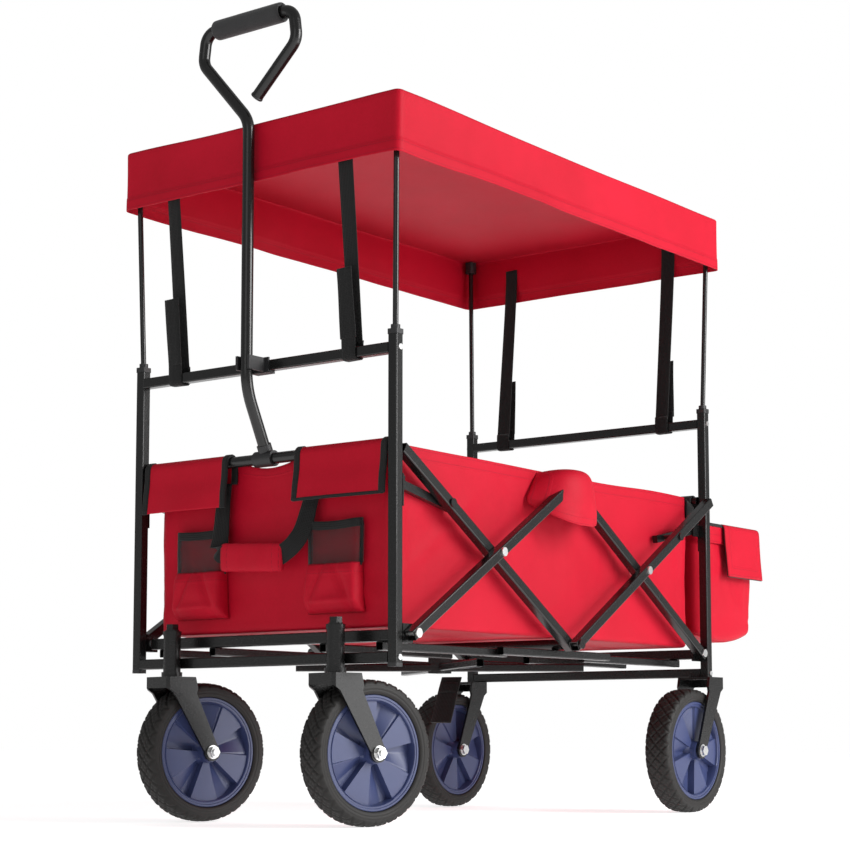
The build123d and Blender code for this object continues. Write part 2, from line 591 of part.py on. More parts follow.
# ---- links and struts ------------------------------------------------------------
def link_set(side):
    """The four crossing links of one side, with their rivets and struts."""
    name = SIDE_NAMES[side]
    fixed = PIN_R + RUNNING
    loose = PIN_R + OPEN_PIVOT
    low, high = LINK_BOTTOM_Z, LINK_TOP_Z
    foot_clearance = loose if side == RIGHT else fixed
    rise_holes = [(-PIVOT_X, low, fixed), (-CROSS_X, CROSS_Z, fixed), (0, high, fixed)]
    keep(name + "_front_rising_link", link(-PIVOT_X, low, 0, high, side, OUTER_LANE, rise_holes))
    fall_holes = [(-STRUT_X, STRUT_Z, fixed), (-CROSS_X, CROSS_Z, fixed), (0, low, fixed)]
    keep(name + "_front_falling_link", link(-PIVOT_X, high, 0, low, side, INNER_LANE, fall_holes))
    fall_holes = [(0, high, fixed), (CROSS_X, CROSS_Z, fixed), (PIVOT_X, low, foot_clearance)]
    keep(name + "_rear_falling_link", link(0, high, PIVOT_X, low, side, INNER_LANE, fall_holes))
    rise_holes = [(0, low, loose), (CROSS_X, CROSS_Z, fixed), (STRUT_X, STRUT_Z, fixed)]
    keep(name + "_rear_rising_link", link(0, low, PIVOT_X, high, side, OUTER_LANE, rise_holes))
    inner, outer = -HALF_TUBE - 0.2, OUTER_LANE + HALF_TUBE + 0.2
    cross_rivet = rivet(-CROSS_X, CROSS_Z, side, inner, outer)
    top_rivet = rivet(0, high, side, inner, outer)
    keep(name + "_front_rivets", cross_rivet, top_rivet)
    keep(name + "_rear_rivets", rivet(CROSS_X, CROSS_Z, side, inner, outer))
    keep(name + "_front_strut", strut(FRONT, side, HALF_TUBE + 0.2))
    keep(name + "_rear_strut", strut(REAR, side, outer))


def strut(end, side, rivet_reach):
    """Short strut from its rivet on a link to the bracket on the post."""
    angle = math.degrees(math.atan2(STRUT_POST_Z - STRUT_Z, PIVOT_X - STRUT_X))
    y = lane_y(side, STRUT_LANE)
    bar = box(-STRUT_STUB, STRUT_LENGTH, -STRUT_DEPTH / 2, STRUT_DEPTH / 2, -STRUT_HEIGHT / 2, STRUT_HEIGHT / 2)
    bar += round_across(STRUT_LENGTH, 0, -STRUT_DEPTH / 2, STRUT_DEPTH / 2, STRUT_HEIGHT / 2)
    if end == FRONT:
        bar = Rot(0, angle - 180, 0) * bar
    else:
        bar = Rot(0, -angle, 0) * bar
    shape = Pos(end * STRUT_X, y, STRUT_Z) * bar
    inside = STRUT_LANE
    shape += round_across(end * STRUT_X, STRUT_Z, lane_y(side, inside), lane_y(side, rivet_reach + 1), PIN_R)
    return shape + round_across(end * STRUT_X, STRUT_Z, lane_y(side, rivet_reach), lane_y(side, rivet_reach + 2.5), 6.5)


# ---- build all nodes -------------------------------------------------------------
def build_end(end):
    """Everything that is fixed to one end frame."""
    name = END_NAMES[end]
    keep(name + "_posts", *posts(end))
    keep(name + "_crossbars", *crossbars(end))
    keep(name + "_plastic_caps", *post_caps(end), *pole_caps(end))
    keep(name + "_canopy_poles", *[pole(end, side, POLE_R) for side in (LEFT, RIGHT)])
    keep(name + "_canopy_straps", *canopy_straps(end))
    keep(name + "_brackets", *frame_brackets(end))
    keep(name + "_bolts", *frame_bolts(end))
    keep(name + "_floor_tubes", *end_floor_tubes(end))


def build_wheels():
    """Four wheels, the front ones in swivelling forks."""
    for side in (LEFT, RIGHT):
        name = SIDE_NAMES[side]
        front = place_caster(side) * Pos(FRONT_TRAIL, 0, WHEEL_R)
        rear = place_rear(side) * Pos(REAR_TRAIL, 0, WHEEL_R)
        keep(name + "_caster_fork", caster_fork(side))
        keep(name + "_caster_axle", front * axle())
        keep(name + "_front_tyre", front * tyre())
        keep(name + "_front_hub", front * hub())
        keep(name + "_rear_tyre", rear * tyre())
        keep(name + "_rear_hub", rear * hub())
    keep("caster_housings", *[caster_housing(side) for side in (LEFT, RIGHT)])
    keep("rear_forks", *[place_rear(side) * fork(REAR_CROWN_TOP, REAR_TRAIL) for side in (LEFT, RIGHT)])
    rear_axles = [place_rear(side) * Pos(REAR_TRAIL, 0, WHEEL_R) * axle() for side in (LEFT, RIGHT)]
    nodes["rear_bolts"] += rear_axles


def build_soft_parts():
    """Basket, canopy, bag and straps."""
    front_x = -BASKET_END_X
    keep("basket_front", basket_section(front_x, front_x + END_SECTION, 0, FRONT), pocket(LEFT), pocket(RIGHT))
    keep("basket_middle", basket_section(-MIDDLE_SECTION / 2, MIDDLE_SECTION / 2, 1, None))
    keep("basket_rear", basket_section(BASKET_END_X - END_SECTION, BASKET_END_X, 2, REAR))
    straps, grip = carry_strap()
    keep("front_flaps_and_grip", front_flap(LEFT), front_flap(RIGHT), grip)
    keep("carry_strap", *straps)
    keep("canopy", canopy())
    keep("rear_bag", rear_bag())
    keep("rear_bag_lid", bag_lid())
    keep("closing_strap", closing_strap())


def build_all():
    """Build every node."""
    build_end(FRONT)
    build_end(REAR)
    build_wheels()
    keep("middle_floor_tubes", *middle_floor_tubes())
    for side in (LEFT, RIGHT):
        link_set(side)
    keep("handle_tube", handle_tube())
    keep("handle_sleeve", handle_sleeve())
    keep("handle_grip", *handle_grip())
    keep("handle_clip", handle_clip())
    build_soft_parts()


def export_all():
    """Move the origin under the middle of the wagon and write one file per node."""
    boxes = [solid.bounding_box() for solids in nodes.values() for solid in solids]
    middle = (min(b.min.X for b in boxes) + max(b.max.X for b in boxes)) / 2
    print("moved along X by", round(-middle, 4))
    os.makedirs("parts", exist_ok=True)
    for name, solids in nodes.items():
        moved = [Pos(-middle, 0, 0) * solid for solid in solids]
        shape = moved[0] if len(moved) == 1 else Compound(children=moved)
        shape.label = name
        export_step(shape, "parts/" + name + ".step")
    print(len(nodes), "nodes")


build_all()
export_all()
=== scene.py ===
# %% [markdown]
# # Folding camp wagon: the looks
#
# The wagon's frame, wheels and joints come from the CAD model, which holds every real size.
# This notebook dresses that model: it gives each carried-over part a finish, and it builds the
# cloth, webbing, tyres and hubs in mesh code, because these need detail that CAD leaves out.

# %% The frame
import bmesh
import bpy
import json
import math
import numpy as np
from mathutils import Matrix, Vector


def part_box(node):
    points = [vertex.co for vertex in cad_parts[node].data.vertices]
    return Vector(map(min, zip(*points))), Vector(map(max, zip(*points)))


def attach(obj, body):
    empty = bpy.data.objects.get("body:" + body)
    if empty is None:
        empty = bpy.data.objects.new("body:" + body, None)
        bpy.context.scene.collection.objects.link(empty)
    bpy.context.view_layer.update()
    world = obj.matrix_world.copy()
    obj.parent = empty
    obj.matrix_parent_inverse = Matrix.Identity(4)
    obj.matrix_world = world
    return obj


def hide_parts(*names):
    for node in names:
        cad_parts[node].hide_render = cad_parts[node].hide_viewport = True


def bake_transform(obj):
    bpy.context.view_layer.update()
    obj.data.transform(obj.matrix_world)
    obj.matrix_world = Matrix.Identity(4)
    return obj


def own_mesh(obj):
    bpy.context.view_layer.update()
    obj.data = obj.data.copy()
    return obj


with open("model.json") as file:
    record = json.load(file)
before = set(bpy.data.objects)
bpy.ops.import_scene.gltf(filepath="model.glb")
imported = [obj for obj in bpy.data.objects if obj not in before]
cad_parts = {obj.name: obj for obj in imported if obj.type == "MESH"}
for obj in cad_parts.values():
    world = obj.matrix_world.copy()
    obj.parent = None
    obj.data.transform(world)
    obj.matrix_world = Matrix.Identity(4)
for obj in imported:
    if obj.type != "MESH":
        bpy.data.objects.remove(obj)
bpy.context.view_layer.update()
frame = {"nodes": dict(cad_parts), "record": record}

# %% [markdown]
# ## Measures
# Every piece of cloth has to fit the frame, so the few sizes it hangs on are read from the CAD
# parts themselves. `SIDES` pairs each side's name with its direction along Y.

# %% Measures from the frame
post_low, post_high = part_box("front_posts")
far_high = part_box("rear_posts")[1]
TUBE = post_high.x - post_low.x
MID = (post_low.x + far_high.x) / 2
POST_X = (far_high.x - post_low.x - TUBE) / 2
POST_Y = (post_high.y - post_low.y - TUBE) / 2
rear_tub_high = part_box("basket_rear")[1]
PANEL_X = rear_tub_high.x - MID
TUB_GAP = 0.0145
TUB_HALF = far_high.y - TUBE - TUB_GAP
TUB_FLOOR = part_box("basket_front")[0].z
TUB_TOP = rear_tub_high.z
canopy_low, canopy_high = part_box("canopy")
bag_low, bag_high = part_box("rear_bag")
lid_low, lid_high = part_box("rear_bag_lid")
bar_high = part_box("front_crossbars")[1].z
SIDES = {"left": -1, "right": 1}
print("posts", round(POST_X * 2, 3), "by", round(POST_Y * 2, 3), "m, basket half width", round(TUB_HALF, 3))


# %% [markdown]
# ## Arithmetic on sockets
# A shader is a sum of many small steps. Wrapping a socket in a class with operators lets the
# sums be written as plain expressions, and each operator adds one Math node. `Finish.node` makes
# every other node: it applies the settings first and then fills the sockets.

# %% Wire and Finish
class Wire:
    """One value in a material, which takes part in arithmetic."""

    def __init__(self, finish, socket):
        self.finish, self.socket = finish, socket

    def math(self, operation, *others):
        return self.finish.node("ShaderNodeMath", {"operation": operation}, [self, *others])

    def __add__(self, other):
        return self.math("ADD", other)

    def __sub__(self, other):
        return self.math("SUBTRACT", other)

    def __rsub__(self, other):
        return self.finish.node("ShaderNodeMath", {"operation": "SUBTRACT"}, [other, self])

    def __mul__(self, other):
        return self.math("MULTIPLY", other)

    def __truediv__(self, other):
        return self.math("DIVIDE", other)

    def __lt__(self, other):
        return self.math("LESS_THAN", other)

    def __gt__(self, other):
        return self.math("GREATER_THAN", other)

    __radd__, __rmul__ = __add__, __mul__


class Finish:
    """A material with one Principled shader, built step by step."""

    def __init__(self, name, color, roughness, metallic=0.0, **uniform):
        self.material = bpy.data.materials.new(name)
        self.material.use_nodes = True
        self.nodes = self.material.node_tree.nodes
        self.links = self.material.node_tree.links
        self.shader = self.nodes["Principled BSDF"]
        self.set("Base Color", (*color, 1))
        self.set("Roughness", roughness)
        self.set("Metallic", metallic)
        for socket, value in uniform.items():
            self.set(socket.replace("_", " "), value)

    def fill(self, socket, value):
        if isinstance(value, Wire):
            self.links.new(value.socket, socket)
        else:
            socket.default_value = value

    def set(self, socket, value):
        self.fill(self.shader.inputs[socket], value)

    def node(self, kind, settings=None, sockets=(), out=0):
        made = self.nodes.new(kind)
        for key, value in (settings or {}).items():
            setattr(made, key, value)
        pairs = sockets.items() if isinstance(sockets, dict) else enumerate(sockets)
        for key, value in pairs:
            self.fill(made.inputs[key], value)
        return Wire(self, made.outputs[out])

    def noise(self, place, scale, detail=3.0, rough=0.5):
        sockets = {"Vector": place, "Scale": scale, "Detail": detail, "Roughness": rough}
        return self.node("ShaderNodeTexNoise", {}, sockets)

    def mix(self, factor, first, second):
        kind = {"data_type": "RGBA", "clamp_factor": True}
        return self.node("ShaderNodeMix", kind, {0: factor, 6: first, 7: second}, out=2)

    def here(self):
        return self.node("ShaderNodeTexCoord", out=3)

    def uv(self, layer):
        place = self.node("ShaderNodeUVMap", {"uv_map": layer})
        parts = self.nodes.new("ShaderNodeSeparateXYZ")
        self.fill(parts.inputs[0], place)
        return Wire(self, parts.outputs[0]), Wire(self, parts.outputs[1])

    def steps(self, value, low, high):
        ends = {"From Min": low, "From Max": high}
        return self.node("ShaderNodeMapRange", {"interpolation_type": "SMOOTHSTEP"}, {"Value": value, **ends})

    def serves(self, slot):
        finishes[slot] = self
        print(self.material.name, "has", len(self.nodes), "nodes and serves", slot)

    def bump(self, height, metres, strength=1.0):
        made = self.node("ShaderNodeBump", {}, {"Strength": strength, "Distance": metres, "Height": height})
        self.set("Normal", made)


finishes = {}

# %% [markdown]
# ## Gloss black paint
# Steel tube is powder coated: the powder melts into a glossy skin with a faint orange-peel
# surface. The ripple is a soft noise a few millimetres across, and it also varies the gloss.
# Tube ends and corners rub in use, which shows as a slightly greyer, duller band of fine scuffs.

# %% Paint
PAINT_BLACK = (0.006, 0.006, 0.006)
paint = Finish("gloss_black_paint", PAINT_BLACK, 0.24, Coat_Weight=0.15, Coat_Roughness=0.10,
               Specular_IOR_Level=0.42)
ripple = paint.noise(paint.here(), 420.0, 2.0)
scuffs = paint.steps(paint.noise(paint.here(), 55.0, 6.0, 0.7), 0.62, 0.80)
paint.set("Roughness", 0.22 + ripple * 0.08 + scuffs * 0.18)
paint.set("Base Color", paint.mix(scuffs * 0.5, (*PAINT_BLACK, 1), (0.022, 0.022, 0.022, 1)))
paint.bump(ripple, 0.00025, 0.35)
paint.serves("black_paint")

# %% [markdown]
# ## Moulded black plastic
# Caps, plugs, the handle clip and the sleeve come from a mould with a spark-eroded grain. Two
# noises of different size make that grain, and it keeps the highlights soft.

# %% Plastic
plastic = Finish("moulded_black_plastic", (0.013, 0.013, 0.014), 0.42)
grain = plastic.noise(plastic.here(), 1400.0, 4.0, 0.6)
flow = plastic.noise(plastic.here(), 60.0, 2.0)
plastic.set("Roughness", 0.36 + grain * 0.16 + flow * 0.08)
plastic.set("Base Color", plastic.mix(flow, (0.010, 0.010, 0.011, 1), (0.019, 0.019, 0.020, 1)))
plastic.bump(grain, 0.00012, 0.6)
plastic.serves("black_plastic")

# %% [markdown]
# ## Zinc on rivets and bolts
# Zinc plate is bright but not a mirror. Fine crystals give it a blotchy roughness, and a slight
# warm and cool drift over the surface comes from the passivation bath.

# %% Zinc
zinc = Finish("bright_zinc", (0.72, 0.72, 0.71), 0.3, metallic=1.0)
crystals = zinc.noise(zinc.here(), 900.0, 5.0, 0.65)
bath = zinc.noise(zinc.here(), 120.0, 1.0)
zinc.set("Roughness", 0.22 + crystals * 0.25)
zinc.set("Base Color", zinc.mix(bath, (0.78, 0.77, 0.73, 1), (0.62, 0.64, 0.67, 1)))
zinc.bump(crystals, 0.00008, 0.5)
zinc.serves("zinc_steel")

# %% [markdown]
# ## Tyre rubber
# Solid rubber is a dull brown-black. Handling leaves it slightly polished on the raised blocks,
# and pale dust stays in the grain, so colour and roughness follow the same two noises.

# %% Rubber
rubber = Finish("tyre_rubber", (0.016, 0.014, 0.013), 0.62, Specular_IOR_Level=0.35)
pores = rubber.noise(rubber.here(), 700.0, 5.0, 0.6)
dust = rubber.steps(rubber.noise(rubber.here(), 35.0, 5.0, 0.65), 0.45, 0.85)
rubber.set("Base Color", rubber.mix(dust * 0.45, (0.012, 0.0108, 0.0100, 1), (0.034, 0.031, 0.029, 1)))
rubber.set("Roughness", 0.50 + pores * 0.16 + dust * 0.12)
rubber.bump(pores, 0.00025, 0.5)
rubber.serves("tyre_rubber")

# %% [markdown]
# ## Hub plastic
# The hubs are moulded in blue polypropylene. It is satin, with faint flow marks that run out
# from the middle, so a stretched noise varies the colour and a fine one breaks up the gloss.

# %% Hub blue
hub_blue = Finish("blue_hub_plastic", (0.036, 0.048, 0.125), 0.40)
satin = hub_blue.noise(hub_blue.here(), 1100.0, 3.0, 0.6)
marks = hub_blue.noise(hub_blue.here(), 22.0, 3.0)
hub_blue.set("Roughness", 0.30 + satin * 0.14)
hub_blue.set("Base Color", hub_blue.mix(marks, (0.032, 0.043, 0.115, 1), (0.043, 0.057, 0.148, 1)))
hub_blue.bump(satin, 0.0001, 0.4)
hub_blue.serves("hub_plastic")

# %% [markdown]
# ## Grip foam
# The grip is closed-cell foam. Its skin is matte with tiny burst cells, which a Voronoi pattern
# gives better than noise, because its cells have edges.

# %% Foam
foam = Finish("grip_foam", (0.012, 0.012, 0.013), 0.85, Sheen_Weight=0.25, Sheen_Roughness=0.5)
cells = foam.node("ShaderNodeTexVoronoi", {}, {"Vector": foam.here(), "Scale": 900.0})
worn = foam.noise(foam.here(), 40.0, 4.0)
foam.set("Roughness", 0.78 + cells * 0.15)
foam.set("Base Color", foam.mix(worn, (0.009, 0.009, 0.010, 1), (0.022, 0.022, 0.023, 1)))
foam.bump(cells, 0.0004, 0.7)
foam.serves("grip_foam")

# %% [markdown]
# ## Coated red cloth
# The cloth is a plain-woven polyester with a coating inside. Each cloth piece carries two UV
# maps in metres: `weave` lies along the threads, and `hem` holds the distance along the nearest
# hem and the distance from its edge. The weave is a checker of warp and weft ridges. The hem map
# places two rows of lockstitch, the step where the hem's second layer ends, and the darker,
# worn line at the very edge. The same sums serve the dark lining with other colours.

# %% Cloth
THREAD = 0.0009
STITCH = 0.0042
HEM_ROWS = (0.0035, 0.0150)
HEM_DEPTH = 0.0185
HEM_STEP = 0.0007
CLOTH = 0.0016
PLAIN = 0.03


def woven(name, deep, bright, thread_color, sheen):
    """Coated plain weave with hems: two colours of cloth and one of sewing thread."""
    cloth = Finish(name, bright, 0.5, Sheen_Weight=sheen, Sheen_Roughness=0.45, Specular_IOR_Level=0.14)
    u, v = cloth.uv("weave")
    warp = (u * (math.pi / THREAD)).math("SINE")
    weft = (v * (math.pi / THREAD)).math("SINE")
    over = (warp * weft) > 0.0
    ridges = over * warp.math("ABSOLUTE") + (1 - over) * weft.math("ABSOLUTE")
    along, edge = cloth.uv("hem")
    stitched = None
    for row in HEM_ROWS:
        near = (edge - row).math("ABSOLUTE") < 0.0005
        dash = (along / STITCH).math("FRACT") < 0.66
        stitched = near * dash if stitched is None else stitched + near * dash
    hem = 1 - cloth.steps(edge, HEM_DEPTH - 0.001, HEM_DEPTH + 0.0005)
    rubbed = 1 - cloth.steps(edge, 0.0, 0.0025)
    cloud = cloth.noise(cloth.here(), 7.0, 4.0, 0.6)
    slub = cloth.noise(cloth.here(), 260.0, 3.0, 0.6)
    tone = cloth.steps(cloud * 0.65 + slub * 0.35, 0.25, 0.75)
    color = cloth.mix(tone, (*deep, 1), (*bright, 1))
    color = cloth.mix(rubbed * 0.35, color, (*deep, 1))
    color = cloth.mix(stitched * 0.8, color, (*thread_color, 1))
    cloth.set("Base Color", color)
    cloth.set("Roughness", 0.46 + slub * 0.12 + (1 - ridges) * 0.08)
    cloth.bump(ridges * 0.12 + slub * 0.5 + hem * 0.9 + stitched * 1.2 + cloud * 1.5, 0.0005, 0.55)
    return cloth


red_cloth = woven("coated_red_cloth", (0.40, 0.0018, 0.014), (0.49, 0.0032, 0.021), (0.27, 0.003, 0.015), 0.01)
red_cloth.serves("red_cloth")
dark_cloth = woven("black_lining_cloth", (0.010, 0.010, 0.010), (0.018, 0.018, 0.018), (0.03, 0.03, 0.03), 0.15)

# %% [markdown]
# ## Webbing and edge tape
# Webbing is a thick weave whose ribs run across it in rows, with a firmer edge. Its UV map runs
# along and across the strap, in metres, so that the ribs keep their true pitch on every strap.

# %% Webbing
RIB, CORD = 0.0022, 0.0028
webbing = Finish("black_webbing", (0.009, 0.009, 0.009), 0.75, Sheen_Weight=0.10, Sheen_Roughness=0.4,
                 Specular_IOR_Level=0.25)
run, width = webbing.uv("weave")
ribs = (run * (2 * math.pi / RIB)).math("SINE")
cords = (width * (2 * math.pi / CORD) + ribs * 0.6).math("SINE")
fuzz = webbing.noise(webbing.here(), 800.0, 3.0)
webbing.set("Base Color", webbing.mix(fuzz, (0.005, 0.005, 0.005, 1), (0.015, 0.015, 0.015, 1)))
webbing.set("Roughness", 0.66 + fuzz * 0.2)
webbing.bump(ribs * 0.5 + cords * 0.5 + fuzz * 0.4, 0.0004, 0.8)
webbing.serves("black_webbing")

# %% [markdown]
# ## Pocket netting
# The pockets' upper part is a knitted net. Two crossing families of threads leave diamond
# openings, and the same mask drives Alpha, so that the red panel behind shows through.

# %% Netting
netting = Finish("black_netting", (0.010, 0.010, 0.010), 0.6, Sheen_Weight=0.3)
nu, nv = netting.uv("weave")
MESH = 0.0030
one = ((nu + nv) / MESH).math("FRACT") - 0.5
two = ((nu - nv) / MESH).math("FRACT") - 0.5
strands = one.math("ABSOLUTE").math("MINIMUM", two.math("ABSOLUTE"))
solid = strands < 0.10
netting.set("Alpha", solid)
netting.set("Base Color", netting.mix(solid * (1 - strands * 3.0), (0.02, 0.02, 0.02, 1), (0.007, 0.007, 0.007, 1)))
netting.bump(1 - strands * 3.0, 0.0003, 0.6)
print(len(finishes), "finishes for the record's slots")

# %% [markdown]
# ## Dressing the carried-over parts
# Each CAD node is listed with its material slot in the record, and the finishes above carry the
# same names, so one loop gives every steel and plastic part its coat.

# %% Finishes on CAD nodes
for subpart in frame["record"]["subparts"]:
    node = frame["nodes"][subpart["node"]]
    node.data.materials.clear()
    node.data.materials.append(finishes[subpart["material_slot"]].material)

# %% [markdown]
# ## Mesh helpers
# Cloth, tyres and hubs are all surfaces that a grid of points describes well: one direction runs round the piece and
# the other across it. `surface` turns such a grid into a mesh with the two UV maps, `freeze` applies thickness and
# smoothing to the piece's own mesh, and `join` makes one object of several.

# %% Grid to mesh
def surface(name, points, weave=None, hem=None, finish=None, ring=False, tube=False):
    """Mesh from an array of points (rows, columns, 3). A ring closes its columns, a tube its rows too."""
    points = np.asarray(points, float)
    rows, columns = points.shape[:2]
    mesh = bpy.data.meshes.new(name)
    right = columns if ring else columns - 1
    up = rows if tube else rows - 1
    r, c = np.meshgrid(np.arange(up), np.arange(right), indexing="ij")
    r2, c2 = (r + 1) % rows, (c + 1) % columns
    corners = [r * columns + c, r * columns + c2, r2 * columns + c2, r2 * columns + c]
    corners = np.stack(corners, axis=-1).reshape(-1, 4)
    mesh.from_pydata(points.reshape(-1, 3).tolist(), [], corners.tolist())
    for layer, values in (("weave", weave), ("hem", hem)):
        if values is None:
            continue
        values = np.asarray(values, float)
        made = mesh.uv_layers.new(name=layer)
        wide = values.shape[1]
        picked = np.stack([values[r, c], values[r, (c + 1) % wide], values[(r + 1) % len(values), (c + 1) % wide],
                           values[(r + 1) % len(values), c]], axis=2)
        made.data.foreach_set("uv", picked.reshape(-1))
    mesh.validate()
    mesh.polygons.foreach_set("use_smooth", [True] * len(mesh.polygons))
    made = bpy.data.objects.new(name, mesh)
    bpy.context.scene.collection.objects.link(made)
    if finish:
        mesh.materials.append(finish.material)
    return made


def freeze(piece, thickness=0.0, smooth=0, offset=0.0):
    """Applies a thickness and one or more subdivisions to the piece's own mesh."""
    if thickness:
        solid = piece.modifiers.new("thickness", "SOLIDIFY")
        solid.thickness, solid.offset, solid.use_even_offset = thickness, offset, False
    if smooth:
        finer = piece.modifiers.new("smooth", "SUBSURF")
        finer.levels = finer.render_levels = smooth
    graph = bpy.context.evaluated_depsgraph_get()
    final = bpy.data.meshes.new_from_object(piece.evaluated_get(graph))
    piece.modifiers.clear()
    piece.data = final
    final.polygons.foreach_set("use_smooth", [True] * len(final.polygons))
    return piece


def join(name, *pieces):
    """One object from several, keeping each one's finish."""
    for piece in bpy.context.selected_objects:
        piece.select_set(False)
    for piece in pieces:
        piece.select_set(True)
    bpy.context.view_layer.objects.active = pieces[0]
    bpy.ops.object.join()
    made = bpy.context.view_layer.objects.active
    made.name = name
    return made


def faces(*pieces):
    """Number of faces of some pieces."""
    return sum(len(piece.data.polygons) for piece in pieces)


# %% [markdown]
# ## Lines and straps
# A strap or a fold starts as a line through a few points in space. `curve_through` rounds it with
# a Catmull-Rom curve, `distance` measures along it, and `ribbon` lays a flat strap on it, whose
# section has eased edges, so that light catches them.

# %% Lines through space
def distance(line):
    """Distance run at each point of a line."""
    return np.concatenate([[0], np.cumsum(np.linalg.norm(np.diff(line, axis=0), axis=1))])


def together(*parts):
    """Several arrays as the last direction of one, spread to a common shape."""
    return np.stack(np.broadcast_arrays(*parts), axis=-1)


def curve_through(points, spacing=0.006):
    """Smooth line through a few points, sampled evenly."""
    p = np.asarray(points, float)
    p = np.vstack([2 * p[0] - p[1], p, 2 * p[-1] - p[-2]])
    t = np.linspace(0, 1, 24, endpoint=False)[:, None]
    line = []
    for a, b, c, d in zip(p, p[1:], p[2:], p[3:]):
        line.append(0.5 * (2 * b + (c - a) * t + (2 * a - 5 * b + 4 * c - d) * t ** 2
                           + (3 * b - a - 3 * c + d) * t ** 3))
    line = np.vstack([*line, p[-2]])
    length = distance(line)
    places = np.linspace(0, length[-1], max(4, int(length[-1] / spacing)))
    return np.stack([np.interp(places, length, column) for column in line.T], axis=1)


def unit(vectors):
    """Vectors of length one in the same directions."""
    return vectors / np.maximum(np.linalg.norm(vectors, axis=-1, keepdims=True), 1e-9)


def ribbon(name, line, side, width, thickness, finish):
    """Flat strap along a line. Side is the direction of its width, one for all points or one each."""
    line = np.asarray(line, float)
    side = np.broadcast_to(np.asarray(side, float), line.shape)
    ahead = unit(np.gradient(line, axis=0))
    side = unit(side - ahead * (side * ahead).sum(1, keepdims=True))
    face = np.cross(ahead, side)
    w, t = width / 2, thickness / 2
    edge = [(-w, -t * .5), (-w + t * .6, -t), (-w * .33, -t), (w * .33, -t), (w - t * .6, -t), (w, -t * .5),
            (w, t * .5), (w - t * .6, t), (w * .33, t), (-w * .33, t), (-w + t * .6, t), (-w, t * .5)]
    rows = np.stack([line + side * a + face * b for a, b in edge], axis=1)
    run = distance(line)
    weave = together(run[:, None], np.array([a for a, b in edge])[None])
    made = surface(name, rows, weave, finish=finish, ring=True)
    count = len(edge)
    for first, order in ((0, -1), (len(line) - 1, 1)):
        cap = [first * count + i for i in range(count)][::order]
        close_with(made, cap)
    return made


def close_with(piece, loop):
    """Adds one face over a loop of vertices, turned the same way as its neighbours."""
    shape = bmesh.new()
    shape.from_mesh(piece.data)
    shape.verts.ensure_lookup_table()
    lid = shape.faces.new([shape.verts[i] for i in loop])
    lid.smooth = True
    if not lid.edges[0].is_contiguous:
        lid.normal_flip()
    for layer in shape.loops.layers.uv.values():
        for corner in lid.loops:
            corner[layer].uv = (corner.vert.co.x, 0.05 + corner.vert.co.y) if layer.name == "weave" else (0.0, 0.05)
    shape.to_mesh(piece.data)
    shape.free()


bend_line = curve_through([(0, 0), (0.7, 0.3), (1, 1)])
print("a line bent through three points runs", round(float(distance(bend_line)[-1]), 3), "m")

# %% [markdown]
# ## Folds and creases
# Real cloth is never a perfect panel. Two kinds of unevenness are enough here: `swell`, a sum of
# a few long waves that gives slack, and `crease`, a soft ridge along a line that fades at its
# ends. Both are plain functions of place, so they give the same cloth on every run.

# %% Unevenness of cloth
def swell(a, b, seed, size, waves=7):
    """Smooth unevenness between about -1 and 1 over two coordinates in metres."""
    draw = np.random.RandomState(seed)
    total = np.zeros(np.broadcast(a, b).shape)
    for turn, stretch, phase in zip(draw.rand(waves) * math.pi, draw.rand(waves), draw.rand(waves) * 6.3):
        pitch = size * (0.6 + 1.2 * stretch)
        total += np.sin((a * math.cos(turn) + b * math.sin(turn)) * 2 * math.pi / pitch + phase)
    return total / waves * 1.6


def crease(a, b, start, end, width):
    """Soft ridge of height 1 along a line, fading at both ends."""
    ax, ay, bx, by = *start, *end
    dx, dy = bx - ax, by - ay
    t = ((a - ax) * dx + (b - ay) * dy) / (dx * dx + dy * dy)
    near = np.clip(t, 0, 1)
    off = np.hypot(a - ax - near * dx, b - ay - near * dy)
    return np.exp(-(off / width) ** 2) * np.sin(math.pi * np.clip(t * 0.9 + 0.05, 0, 1)) ** 0.6


def outline(half_x, half_y, corner, step):
    """Rounded rectangle: places, outward directions and distance run, from the middle of the +X side."""
    places, out = [], []
    corners = [(1, 1, 0), (-1, 1, 90), (-1, -1, 180), (1, -1, 270)]
    for number, (sx, sy, start) in enumerate(corners):
        cx, cy = sx * (half_x - corner), sy * (half_y - corner)
        for angle in np.radians(np.linspace(start, start + 90, 6)):
            places.append((cx + corner * math.cos(angle), cy + corner * math.sin(angle)))
            out.append((math.cos(angle), math.sin(angle)))
        nx, ny, _ = corners[(number + 1) % 4]
        turn = math.radians(start + 90)
        ex, ey = nx * (half_x - corner) + corner * math.cos(turn), ny * (half_y - corner) + corner * math.sin(turn)
        from_x, from_y = places[-1]
        gap = math.hypot(ex - from_x, ey - from_y)
        count = max(2, int(gap / step))
        for k in range(1, count):
            f = k / count
            places.append((from_x + (ex - from_x) * f, from_y + (ey - from_y) * f))
            out.append((math.cos(turn), math.sin(turn)))
    places, out = np.array(places), np.array(out)
    ring = np.vstack([places, places[:1]])
    run = distance(ring)
    return places, out, run


